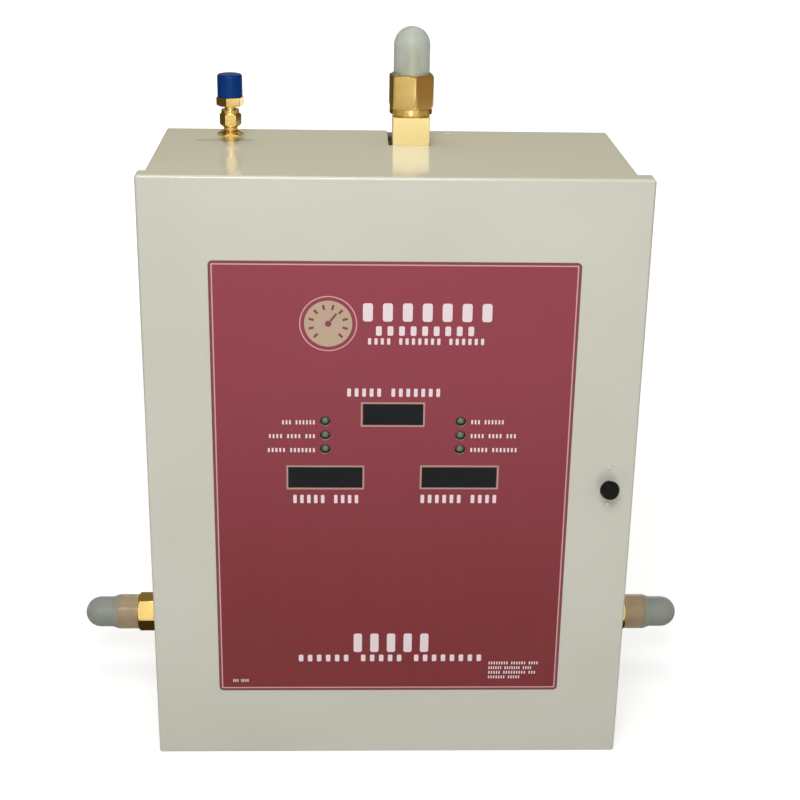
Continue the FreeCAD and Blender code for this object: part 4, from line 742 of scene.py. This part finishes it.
class MANIFOLD_OT_display_frames(bpy.types.Operator):
    """Prints a beige frame round each display window"""

    bl_idname = "manifold.display_frames"
    bl_label = "Display Frames"

    def execute(self, context):
        pairs = []
        for window in WINDOW_FRAMES:
            outer = np.array(window) * MM
            inner = outer + INWARD * sizes().frame_width
            edges = zip((outer, inner), FRAME_CORNERS)
            pairs.append([rounded_outline(*edge, corner) for edge, corner in edges])
        print_on_film("display_frames", rings(pairs, *film_faces()), "Beige ink", colours().beige_line)
        return {"FINISHED"}


# The emblem's middle
EMBLEM_X = -55.9 * MM
EMBLEM_Z = 155.2 * MM
# Where the dial's ticks and hand are, and their near end, far end and half width as shares of the disc
TICK_ANGLES = np.radians(np.arange(-45, 226, 30))
TICK_SHARES = (0.62, 0.84, 0.05)
HAND_ANGLE = math.radians(52)
HAND_SHARES = (0.14, 0.56, 0.045)
HUB_SHARE = 0.13
HUB_STEPS = 32


class MANIFOLD_OT_emblem(bpy.types.Operator):
    """Prints a plain disc and ring with a dial's ticks and hand"""

    bl_idname = "manifold.emblem"
    bl_label = "Emblem"

    def execute(self, context):
        given, shades = sizes(), colours()
        back, front = film_faces()
        outer, inner, disc = (circle_outline(EMBLEM_X, EMBLEM_Z, radius) for radius in (
            given.emblem_radius, given.emblem_radius - given.emblem_ring, given.disc_radius
        ))
        hub = circle_outline(EMBLEM_X, EMBLEM_Z, given.disc_radius * HUB_SHARE, HUB_STEPS)
        print_on_film("emblem_ring", rings([(outer, inner)], back, front), "Ring ink", shades.pink_line)
        print_on_film("emblem_disc", slabs([disc], back, front), "Disc ink", shades.beige_disc)
        marks = [self.tick(angle, *TICK_SHARES) for angle in TICK_ANGLES]
        marks += [self.tick(HAND_ANGLE, *HAND_SHARES), hub]
        dial = slabs(marks, front, front - given.print_proud)
        print_on_film("emblem_dial", dial, "Dial ink", shades.crimson_edge)
        return {"FINISHED"}

    def tick(self, angle, near, far, half_width):
        """A bar along a radius, its sizes as shares of the disc's radius."""
        radius = sizes().disc_radius
        along = np.array([math.cos(angle), math.sin(angle)]) * radius
        side = np.array([-along[1], along[0]]) * half_width
        centre = np.array([EMBLEM_X, EMBLEM_Z])
        return np.array([
            centre + along * near - side,
            centre + along * far - side,
            centre + along * far + side,
            centre + along * near + side,
        ])


# Fittings with real threads

# Steps round a turned piece, a whole number for each facet
TURNED_STEPS = 120
FACETS = 6
STATIONS_PER_PITCH = 10
# Where a bevel on a hexagon starts and how far it runs, as shares of the width across the flats, and its
# slope
BEVEL_START = 0.49
BEVEL_SPAN = 0.1
BEVEL_SLOPE = math.tan(math.radians(30))
BEVEL_SHARES = np.linspace(0.0, 1.0, 7)
# How steep a thread's flanks are, and how much of their foot is cut off
FLANK_SLOPE = 1.5
FLANK_CUT = 0.25
# How far the union nut's cut corners stand inside its collar's edge
LEDGE_EDGE = 0.05 * MM


def hexagon_radii(flats):
    """Radius of a hexagon at each step from a corner.

    It is half its flats over the cosine of the angle from a facet's middle.
    """
    facet = TURN / FACETS
    angle = np.arange(TURNED_STEPS) / TURNED_STEPS * TURN
    return flats / 2 / np.cos((angle % facet) - facet / 2)


def bevelled(hexagon, flats, share):
    """A hexagon cut by a cone that grows from just inside its flats."""
    return np.minimum(hexagon, flats * (BEVEL_START + BEVEL_SPAN * share))


def thread_radii(heights, width, depth, pitch):
    """Radius of a screw thread: its crest less a wave of the height over the pitch less the turn.

    The wave is a triangle with its top and bottom cut off, and fades in and out at the thread's ends.
    """
    turn = np.arange(TURNED_STEPS) / TURNED_STEPS
    phase = (heights[:, None] / pitch - turn[None, :]) % 1.0
    wave = np.clip(FLANK_SLOPE * np.abs(2.0 * phase - 1.0) - FLANK_CUT, 0.0, 1.0)
    reach = np.minimum(heights - heights[0], heights[-1] - heights) / pitch
    fade = np.clip(reach, 0.0, 1.0)[:, None]
    return width / 2 - depth * np.where(fade < 1.0, wave * fade + (1.0 - fade), wave)


def corner_angle(node, axis, centre, span):
    """Angle at which a node's hexagon has a corner: that of the point furthest from its axis."""
    mesh = NODES[node].data
    flat = np.empty(len(mesh.vertices) * 3)
    mesh.vertices.foreach_get("co", flat)
    points = flat.reshape(-1, 3) - centre
    x, y, z = points.T
    across_x, across_y, along = {"+Z": (x, y, z), "+X": (y, z, x), "-X": (y, -z, -x)}[axis]
    inside = (along > span[0]) & (along < span[1])
    radius = np.where(inside, np.hypot(across_x, across_y), 0.0)
    furthest = int(radius.argmax())
    return math.atan2(across_y[furthest], across_x[furthest])


def turn_fitting(name, node, body, axis, centre, corner, stations):
    """A turned piece from its heights and radii along an axis, which stands for a node."""
    heights = np.array([height for height, radius in stations])
    radii = np.array([np.broadcast_to(radius, TURNED_STEPS) for height, radius in stations])
    points, faces = turned_surface(radii, heights, corner)
    material = NODES[node].material_slots[0].material
    piece = new_piece(name, toward(points, axis) + centre, faces, material, "fitting_brass", body, 30)
    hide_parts(node)


class MANIFOLD_OT_threads(bpy.types.Operator):
    """Cuts real threads on the capped fittings, which show when their caps are pulled off"""

    bl_idname = "manifold.threads"
    bl_label = "Threaded Fittings"

    def execute(self, context):
        given = sizes()
        widths = (given.inlet_shank, given.inlet_flats, given.inlet_thread, given.inlet_bore)
        lengths = (given.inlet_hexagon, given.inlet_male)
        for side, axis in (("left", "-X"), ("right", "+X")):
            low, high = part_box(f"{side}_inlet_body")
            ends = (low.x, high.x) if axis == "+X" else (-high.x, -low.x)
            centre = np.array([0.0, (low.y + high.y) / 2, (low.z + high.z) / 2])
            self.make(f"{side}_inlet_body", axis, centre, ends, widths, lengths, True)
        low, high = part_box("vent_adapter")
        centre = np.array([(low.x + high.x) / 2, (low.y + high.y) / 2, 0.0])
        widths = (given.vent_stem, given.vent_flats, given.vent_thread, given.vent_bore)
        lengths = (given.vent_hexagon, given.vent_male)
        self.make("vent_adapter", "+Z", centre, (low.z, high.z), widths, lengths, False)
        return {"FINISHED"}

    def make(self, node, axis, centre, ends, widths, lengths, bevel_high):
        """A shank, a hexagon, a thread and a bore, one after another along the axis."""
        given = sizes()
        shank, flats, crest, bore = widths
        low, end = ends
        hex_high = end - lengths[1]
        hex_low = hex_high - lengths[0]
        corner = corner_angle(node, axis, centre, (hex_low, hex_high))
        hexagon = hexagon_radii(flats)
        rise = flats * BEVEL_SPAN * BEVEL_SLOPE
        relief, pitch = given.thread_relief, given.thread_pitch
        stations = [(low, shank / 2), (hex_low, shank / 2)]
        stations += [(hex_low + rise * share, bevelled(hexagon, flats, share)) for share in BEVEL_SHARES]
        for share in BEVEL_SHARES[::-1] if bevel_high else [1.0]:
            height = hex_high - rise * share if bevel_high else hex_high
            stations.append((height, bevelled(hexagon, flats, share)))
        stations += [(hex_high, crest / 2 - relief), (hex_high + relief, crest / 2 - relief)]
        count = int((end - hex_high - relief) / pitch * STATIONS_PER_PITCH)
        cut = np.linspace(hex_high + relief, end, count)
        stations += zip(cut, thread_radii(cut, crest, given.thread_depth, pitch))
        stations += [(end, bore / 2), (low, bore / 2)]
        turn_fitting(f"{node}_threaded", node, "root", axis, centre, corner, stations)


class MANIFOLD_OT_union_nut(bpy.types.Operator):
    """Turns the outlet's union nut: a hexagon over a round collar, threaded inside"""

    bl_idname = "manifold.union_nut"
    bl_label = "Union Nut"

    def execute(self, context):
        given, node = sizes(), "outlet_union_nut"
        low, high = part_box(node)
        foot, top = low.z, high.z
        centre = np.array([(low.x + high.x) / 2, (low.y + high.y) / 2, 0.0])
        floor, ledge = foot + given.nut_floor, foot + given.nut_ledge
        corner = corner_angle(node, "+Z", centre, (foot + given.nut_floor / 2, top))
        flats, collar, hole = given.nut_flats, given.nut_collar / 2, given.nut_hole / 2
        hexagon = hexagon_radii(flats)
        reach = hexagon.max() - collar
        rise = flats * BEVEL_SPAN * BEVEL_SLOPE
        stations = [(foot, given.nut_foot / 2), (foot + given.nut_foot_height, collar), (ledge, collar)]
        stations.append((ledge, np.minimum(hexagon, collar - LEDGE_EDGE)))
        for share in BEVEL_SHARES[1:]:
            stations.append((ledge + given.nut_cone * share, np.minimum(hexagon, collar + reach * share)))
        stations += [(top - rise * share, bevelled(hexagon, flats, share)) for share in BEVEL_SHARES[::-1]]
        pitch, depth = given.thread_pitch, given.thread_depth
        cut = np.linspace(top, floor, int((top - floor) / pitch * STATIONS_PER_PITCH))
        stations += zip(cut, thread_radii(cut[::-1], given.nut_bore + depth * 2, depth, pitch)[::-1])
        stations += [(floor, hole), (foot, hole)]
        turn_fitting("union_nut_turned", node, "outlet_nut", "+Z", centre, corner, stations)
        return {"FINISHED"}


# Small prints and parts

# The grey marks' distance behind the front and their width, and the share of a mark that is left as a gap
TOP_ROW_DEPTH = 53.5 * MM
TOP_ROW_WIDTH = 3.6 * MM
TOP_GAP_SHARE = 0.25
# Left end, right end and number of the marks in each group
TOP_GROUPS = [(-181.0 * MM, -161.5 * MM, 6), (-137.5 * MM, -129.5 * MM, 3)]
# Where the paint is chipped, and the chip's outline in millimetres
CHIP_PLACE = (58.0 * MM, -10.5 * MM)
CHIP_OUTLINE = [(-2.2, -0.6), (-0.4, -1.0), (2.4, -0.3), (1.6, 0.6), (-0.8, 0.9)]


class MANIFOLD_OT_top_marks(bpy.types.Operator):
    """Prints the grey marks beside the vent and chips the paint at the top's rear edge"""

    bl_idname = "manifold.top_marks"
    bl_label = "Top Marks"

    def execute(self, context):
        row_low, row_high = -TOP_ROW_DEPTH - TOP_ROW_WIDTH / 2, -TOP_ROW_DEPTH + TOP_ROW_WIDTH / 2
        marks = []
        for left, right, count in TOP_GROUPS:
            edges = np.linspace(left, right, count + 1)
            gap = (edges[1] - edges[0]) * TOP_GAP_SHARE
            for low, high in zip(edges[:-1], edges[1:]):
                marks.append(rounded_outline(low, high - gap, row_low, row_high, gap, steps=3))
        self.lay("top_marks", marks, film_ink("Grey print", colours().top_print))
        chip = np.array(CHIP_OUTLINE) * MM + CHIP_PLACE
        self.lay("edge_chip", [chip], film_ink("Bare primer", colours().primer))
        return {"FINISHED"}

    def lay(self, name, outlines, material):
        """Lays outlines of X and Y flat on the cabinet's top."""
        points, faces = slabs(outlines, 0.0, -sizes().print_proud)
        x, height, y = points.T
        points = np.stack([x, y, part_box("cabinet_shell")[1].z - height], axis=1)
        new_piece(name, points, faces, material, "cream_powder_coat", "root")


# Share of a rivet's dome that its rim is wider, and that its foot stands in the paint
RIVET_RIM = 0.4
RIVET_FOOT = 0.2
RIVET_STEPS = 32


class MANIFOLD_OT_rivet_heads(bpy.types.Operator):
    """Covers the latch plate's rivets with painted domes"""

    bl_idname = "manifold.rivet_heads"
    bl_label = "Rivet Heads"

    def execute(self, context):
        given = sizes()
        low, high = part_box("latch_plate")
        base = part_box("door_panel")[0].y
        crown = base - low.y + given.print_proud * 2
        edge = given.rivet_radius + crown * RIVET_RIM
        # An arc from the rim to the top: the radius falls as the cosine while the height grows as the sine
        arc = np.linspace(0.0, TURN / 4, 9)
        radii = np.concatenate([edge * np.cos(arc), [0.0, edge]]).clip(min=0.01 * MM)
        heights = np.concatenate([crown * np.sin(arc), [-crown * RIVET_FOOT] * 2])
        points, faces = turned_surface(np.repeat(radii[:, None], RIVET_STEPS, axis=1), heights)
        paint = NODES["door_panel"].material_slots[0].material
        for name, way in (("low", -1), ("high", 1)):
            middle = ((low.x + high.x) / 2, base, (low.z + high.z) / 2 + way * given.rivet_spread)
            placed = toward(points, "-Y") + middle
            new_piece(f"rivet_head_{name}", placed, faces, paint, "cream_powder_coat", "door", 50)
        return {"FINISHED"}


# Parts on the boards, in millimetres from a board's left bottom corner seen from its parts' side:
# left, bottom, width and height of each
CONTROL_CHIPS = [
    (62, 78, 22, 22), (92, 84, 18, 8), (92, 70, 18, 8), (62, 104, 14, 10), (84, 108, 8, 8),
    (98, 106, 12, 6), (10, 38, 10, 6), (26, 38, 10, 6),
]
CONTROL_RELAYS = [(64, 26, 20, 16), (90, 26, 20, 16)]
CONTROL_PLUGS = [(66, 118, 24, 7), (96, 118, 16, 7), (6, 52, 7, 14)]
CONTROL_CANS = [(68, 60, 5.0), (82, 60, 5.0), (97, 56, 4.0), (108, 56, 4.0), (22, 56, 6.5), (40, 56, 6.5)]
DISPLAY_CHIPS = [(40, 20, 20, 12), (96, 44, 16, 16), (130, 20, 20, 12), (170, 24, 12, 8), (70, 76, 14, 8)]
DISPLAY_PLUGS = [(100, 88, 26, 8)]
RESISTOR = (3.2, 1.6)
CONTROL_RESISTORS = [(92 + 5 * (step % 4), 96 - 4 * (step // 4), *RESISTOR) for step in range(8)]
CONTROL_RESISTORS += [(8 + 6 * step, 48, *RESISTOR) for step in range(8)]
DISPLAY_RESISTORS = [(30 + 9 * step, 40 + 6 * (step % 3), *RESISTOR) for step in range(18)]
CHIP_HEIGHT = 2.2 * MM
RELAY_HEIGHT = 15.0 * MM
PLUG_HEIGHT = 8.0 * MM
CAN_HEIGHT = 14.0 * MM
RESISTOR_HEIGHT = 0.8 * MM
# A part's bevel, at most so large a share of its height, and the radius of its corners
PART_BEVEL = 0.4 * MM
BEVEL_LIMIT = 0.3
PART_CORNER = 0.3 * MM
CAN_STEPS = 40


class MANIFOLD_OT_board_parts(bpy.types.Operator):
    """Fits the control board and the back of the display board with their electronic parts"""

    bl_idname = "manifold.board_parts"
    bl_label = "Board Parts"

    def execute(self, context):
        chip = moulded_plastic("Chip package", screen(28, 28, 29), 0.4)
        relay = moulded_plastic("Relay case", screen(222, 140, 44), 0.35)
        plug = moulded_plastic("Plug housing", screen(226, 222, 206), 0.4)
        can = plated_steel("Capacitor can", screen(186, 188, 190), 0.25, 900.0)
        ceramic = moulded_plastic("Ceramic part", screen(120, 96, 66), 0.5)
        self.fit("control_chips", CONTROL_CHIPS, CHIP_HEIGHT, chip)
        self.fit("control_relays", CONTROL_RELAYS, RELAY_HEIGHT, relay)
        self.fit("control_plugs", CONTROL_PLUGS, PLUG_HEIGHT, plug)
        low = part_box("control_board")[0]
        cans = []
        for x, z, radius in np.array(CONTROL_CANS) * MM:
            cans.append(circle_outline(low.x + x, low.z + z, radius, CAN_STEPS))
        mesh = slabs(cans, low.y, low.y - CAN_HEIGHT, PART_BEVEL * 2)
        new_piece("control_capacitors", *mesh, can, "zinc_plated_steel", "root", 35)
        self.fit("control_resistors", CONTROL_RESISTORS, RESISTOR_HEIGHT, ceramic)
        self.fit("display_chips", DISPLAY_CHIPS, CHIP_HEIGHT, chip)
        self.fit("display_plug", DISPLAY_PLUGS, PLUG_HEIGHT, plug)
        self.fit("display_resistors", DISPLAY_RESISTORS, RESISTOR_HEIGHT, ceramic)
        return {"FINISHED"}

    def fit(self, name, spots, height, material):
        """Boxes with bevelled tops on the board that their name starts with.

        The control board's parts face the door, and the display board's face the cabinet.
        """
        board = name.split("_")[0]
        low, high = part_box(f"{board}_board")
        face, top, body = low.y, low.y - height, "root"
        if board == "display":
            face, top, body = high.y, high.y + height, "door"
        outlines = []
        for left, bottom, width, tall in np.array(spots) * MM:
            x, z = low.x + left, low.z + bottom
            outlines.append(rounded_outline(x, x + width, z, z + tall, PART_CORNER, steps=2))
        mesh = slabs(outlines, face, top, min(PART_BEVEL, height * BEVEL_LIMIT))
        new_piece(name, *mesh, material, "display_module", body)


# Finishing and staging


class MANIFOLD_OT_finishes(bpy.types.Operator):
    """Gives every carried-over part its finish"""

    bl_idname = "manifold.finishes"
    bl_label = "Finishes"

    def execute(self, context):
        made = finishes()
        # The side inlets take a darker copy of the turned brass: painted shade
        side_brass_painted_shade = turned_brass(0, "Turned brass, side inlets, painted shade", SIDE_PAINTED_SHADE)
        for name, node in NODES.items():
            slot = node.data.materials[0].name.split(".")[0]
            node.material_slots[0].material = made[slot]
            if slot == "fitting_brass" and "inlet" in name:
                node.material_slots[0].material = side_brass_painted_shade
        own = {
            # The outlet's cap takes a paler copy of the milky plastic: painted light, as it is lit more than
            # the side caps
            "outlet_cap": milky_plastic("Milky plastic, outlet cap", colours().milky_painted_lit, 0.66),
            "outlet_nipple": made["block_brass"],
            "latch_bushing": plated_steel("Blackened bushing", screen(60, 58, 54), 0.4, 1800.0),
        }
        for name, material in own.items():
            NODES[name].material_slots[0].material = material
        return {"FINISHED"}


def upright(x_1, y_1, x_2, y_2, low, high):
    """Corners of an upright card between two places on the floor."""
    return [(x_1, y_1, low), (x_2, y_2, low), (x_2, y_2, high), (x_1, y_1, high)]


def level_card(x_low, x_high, y_low, y_high, height):
    """Corners of a level card."""
    places = ((x_low, y_low), (x_high, y_low), (x_high, y_high), (x_low, y_high))
    return [(x, y, height) for x, y in places]


FLOOR = CAD_BOX[0].z
# Coloured cards round the object, with the light that each gives
STUDIO_CARDS = [
    ("card_behind", upright(-3.0, 1.4, 3.0, 1.4, 0.42, 1.8), (0.27, 0.24, 0.12)),
    ("card_behind_left", upright(-1.0, 1.39, -0.3, 1.39, -0.28, 0.42), (0.1, 0.08, 0.03)),
    ("card_left", upright(-1.0, -0.3, -1.0, 1.4, -0.28, 2.0), (0.10, 0.07, 0.03)),
    ("card_right", upright(1.0, 0.05, 1.0, 1.4, -0.28, 2.0), (0.08, 0.055, 0.02)),
    ("card_left_front", upright(-1.0, -1.3, -1.0, -0.3, -0.28, 1.0), (0.5, 0.42, 0.34)),
    ("card_right_front", upright(1.0, -1.3, 1.0, 0.05, -0.28, 1.0), (0.33, 0.22, 0.14)),
    ("card_above", level_card(-2.0, 2.0, -0.8, 1.4, 2.1), (0.15, 0.12, 0.05)),
    # A dark card on the floor round the cabinet's foot, seen only in reflections: painted shade of the floor
    # there
    ("card_below_painted_shade", level_card(-1.0, 1.0, -0.19, 0.35, FLOOR + 2 * MM), (0.06, 0.04, 0.015)),
]

# Where each lamp stands, what it faces, how wide it is and its power
UPPER_FRONT = (0.0, -0.1, 0.2)
STUDIO_LAMPS = {
    "Key": ((-0.15, -1.5, 1.3), UPPER_FRONT, 0.7, 17.0),
    "Fill": ((1.9, -2.0, 0.8), (0.0, -0.1, 0.0), 1.8, 3.0),
    "Front": ((-0.04, -1.75, 0.22), UPPER_FRONT, 0.45, 1.9),
    "Top": ((-0.2, 0.2, 2.4), UPPER_FRONT, 1.5, 18.0),
}

# The world's light, the floor's reach, and between which distances from the middle it brightens how far
WORLD_LIGHT = 0.38
FLOOR_REACH = 14.0
FLOOR_GLOW = {"From Min": 0.4, "From Max": 2.5, "To Min": 0.62, "To Max": 0.95}

CAMERA_PLACE = (-0.04104, -1.52007, 0.58798)
CAMERA_YAW, CAMERA_PITCH, CAMERA_ROLL = (math.radians(angle) for angle in (-2.168, -21.118, -1.019))
FOCAL_LENGTH = 70.34
SENSOR_WIDTH = 36.0


class MANIFOLD_OT_stage(bpy.types.Operator):
    """Sets up the floor, the soft lights, the white surroundings and the camera"""

    bl_idname = "manifold.stage"
    bl_label = "Stage"

    def execute(self, context):
        self.add_floor()
        self.add_world(context.scene)
        lamps = {name: self.add_lamp(name, *row) for name, row in STUDIO_LAMPS.items()}
        lamps["Front"].data.use_shadow = False
        lamps["Top"].data.color = (1.0, 0.97, 0.82)
        lamps["Top"].visible_glossy = False
        for name, corners, colour in STUDIO_CARDS:
            self.add_card(name, corners, colour)
        self.add_camera(context.scene)
        context.scene.view_settings.view_transform = "Standard"
        return {"FINISHED"}

    def seen_directly(self, tree):
        """The output that is 1 for what the camera sees, also in metal or through glass, and else 0."""
        path = add_node(tree, "LightPath")
        total = path.outputs["Is Camera Ray"]
        for name in ("Is Glossy Ray", "Is Transmission Ray"):
            either = add_node(tree, "Math", operation="MAXIMUM")
            tree.links.new(total, either.inputs[0])
            tree.links.new(path.outputs[name], either.inputs[1])
            total = either.outputs["Value"]
        return total

    def add_flat(self, name, corners, material):
        """A flat piece of the stage."""
        mesh = bpy.data.meshes.new(name)
        mesh.from_pydata(corners, [], [(0, 1, 2, 3)])
        mesh.materials.append(material)
        flat = bpy.data.objects.new(name, mesh)
        bpy.context.scene.collection.objects.link(flat)
        return flat

    def add_floor(self):
        """A wide pale floor under the object, which shows its shadow and is clear from below."""
        white = (1.0, 1.0, 1.0, 1.0)
        settings = {"Specular_IOR_Level": 0.0, "Emission_Color": white}
        finish = Finish("Pale floor", (0.55, 0.55, 0.55), 0.9, **settings)
        tree, shader = finish.tree, finish.shader
        place = add_node(tree, "TexCoord")
        distance = add_node(tree, "VectorMath", operation="LENGTH")
        fade = fill(add_node(tree, "MapRange"), FLOOR_GLOW)
        glow = add_node(tree, "Math", operation="MULTIPLY")
        clear = add_node(tree, "BsdfTransparent")
        side = add_node(tree, "NewGeometry")
        mix = add_node(tree, "MixShader")
        tree.links.new(self.seen_directly(tree), glow.inputs[0])
        join(
            tree,
            (place, "Object", distance, 0), (distance, "Value", fade, "Value"), (fade, "Result", glow, 1),
            (glow, "Value", shader, "Emission Strength"), (side, "Backfacing", mix, "Fac"),
            (shader, "BSDF", mix, 1), (clear, "BSDF", mix, 2),
            (mix, "Shader", tree.nodes["Material Output"], "Surface"),
        )
        corners = level_card(-FLOOR_REACH, FLOOR_REACH, -FLOOR_REACH, FLOOR_REACH, FLOOR)
        self.add_flat("floor", corners, finish.material)

    def add_card(self, name, corners, colour):
        """A coloured card that only metal and gloss reflect, as a photographer's screens are."""
        material = bpy.data.materials.new(name)
        material.use_nodes = True
        tree = material.node_tree
        glow = fill(add_node(tree, "Emission"), {"Color": (*colour, 1.0)})
        join(tree, (glow, "Emission", tree.nodes["Material Output"], "Surface"))
        card = self.add_flat(name, corners, material)
        card.visible_camera = card.visible_diffuse = False
        card.visible_transmission = card.visible_shadow = False

    def add_world(self, scene):
        """White where it is seen, and a soft light from all round elsewhere."""
        world = bpy.data.worlds.new("Studio")
        world.use_nodes = True
        tree = world.node_tree
        light = fill(tree.nodes["Background"], {"Color": (1.0, 0.99, 0.97, 1.0), "Strength": WORLD_LIGHT})
        white = fill(add_node(tree, "Background"), {"Color": (1.0, 1.0, 1.0, 1.0)})
        mix = add_node(tree, "MixShader")
        tree.links.new(self.seen_directly(tree), mix.inputs["Fac"])
        join(
            tree,
            (light, "Background", mix, 1), (white, "Background", mix, 2),
            (mix, "Shader", tree.nodes["World Output"], "Surface"),
        )
        scene.world = world

    def add_lamp(self, name, place, target, size, power):
        """A square soft light that faces a point."""
        data = bpy.data.lights.new(name, "AREA")
        data.size = size
        data.energy = power
        lamp = bpy.data.objects.new(name, data)
        lamp.visible_camera = False
        lamp.location = place
        away = lamp.location - Matrix.Translation(target).to_translation()
        lamp.rotation_euler = away.to_track_quat("Z", "Y").to_euler()
        bpy.context.scene.collection.objects.link(lamp)
        return lamp

    def add_camera(self, scene):
        """The photograph's camera: turned from looking along Y by its yaw, pitch and roll."""
        data = bpy.data.cameras.new("Camera")
        data.lens = FOCAL_LENGTH
        data.sensor_width = SENSOR_WIDTH
        data.clip_end = 60.0
        camera = bpy.data.objects.new("Camera", data)
        turn = Matrix.Rotation(CAMERA_YAW, 4, "Z") @ Matrix.Rotation(CAMERA_PITCH, 4, "X")
        turn = turn @ Matrix.Rotation(CAMERA_ROLL, 4, "Y") @ Matrix.Rotation(math.radians(90), 4, "X")
        camera.matrix_world = Matrix.Translation(CAMERA_PLACE) @ turn
        scene.collection.objects.link(camera)
        scene.camera = camera


class MANIFOLD_PT_pieces(bpy.types.Panel):
    """Lists the pieces and their sizes and colours"""

    bl_idname = "MANIFOLD_PT_pieces"
    bl_label = "Oxygen Manifold"
    bl_space_type = "VIEW_3D"
    bl_region_type = "UI"
    bl_category = "Manifold"

    def draw(self, context):
        layout = self.layout
        for operator in STEPS:
            layout.operator(operator.bl_idname)
        for settings in (context.scene.manifold_sizes, context.scene.manifold_colours):
            box = layout.box()
            for name in settings.__annotations__:
                box.prop(settings, name)


STEPS = (
    MANIFOLD_OT_stage,
    MANIFOLD_OT_finishes,
    MANIFOLD_OT_threads,
    MANIFOLD_OT_union_nut,
    MANIFOLD_OT_panel_print,
    MANIFOLD_OT_display_frames,
    MANIFOLD_OT_emblem,
    MANIFOLD_OT_top_marks,
    MANIFOLD_OT_rivet_heads,
    MANIFOLD_OT_board_parts,
)
CLASSES = (ManifoldColours, ManifoldSizes, *STEPS, MANIFOLD_PT_pieces)


def register():
    for item in CLASSES:
        bpy.utils.register_class(item)
    bpy.types.Scene.manifold_colours = bpy.props.PointerProperty(type=ManifoldColours)
    bpy.types.Scene.manifold_sizes = bpy.props.PointerProperty(type=ManifoldSizes)


def unregister():
    del bpy.types.Scene.manifold_sizes
    del bpy.types.Scene.manifold_colours
    for item in reversed(CLASSES):
        bpy.utils.unregister_class(item)


def main():
    register()
    for operator in STEPS:
        family, step = operator.bl_idname.split(".")
        getattr(getattr(bpy.ops, family), step)()


if __name__ == "__main__":
    main()
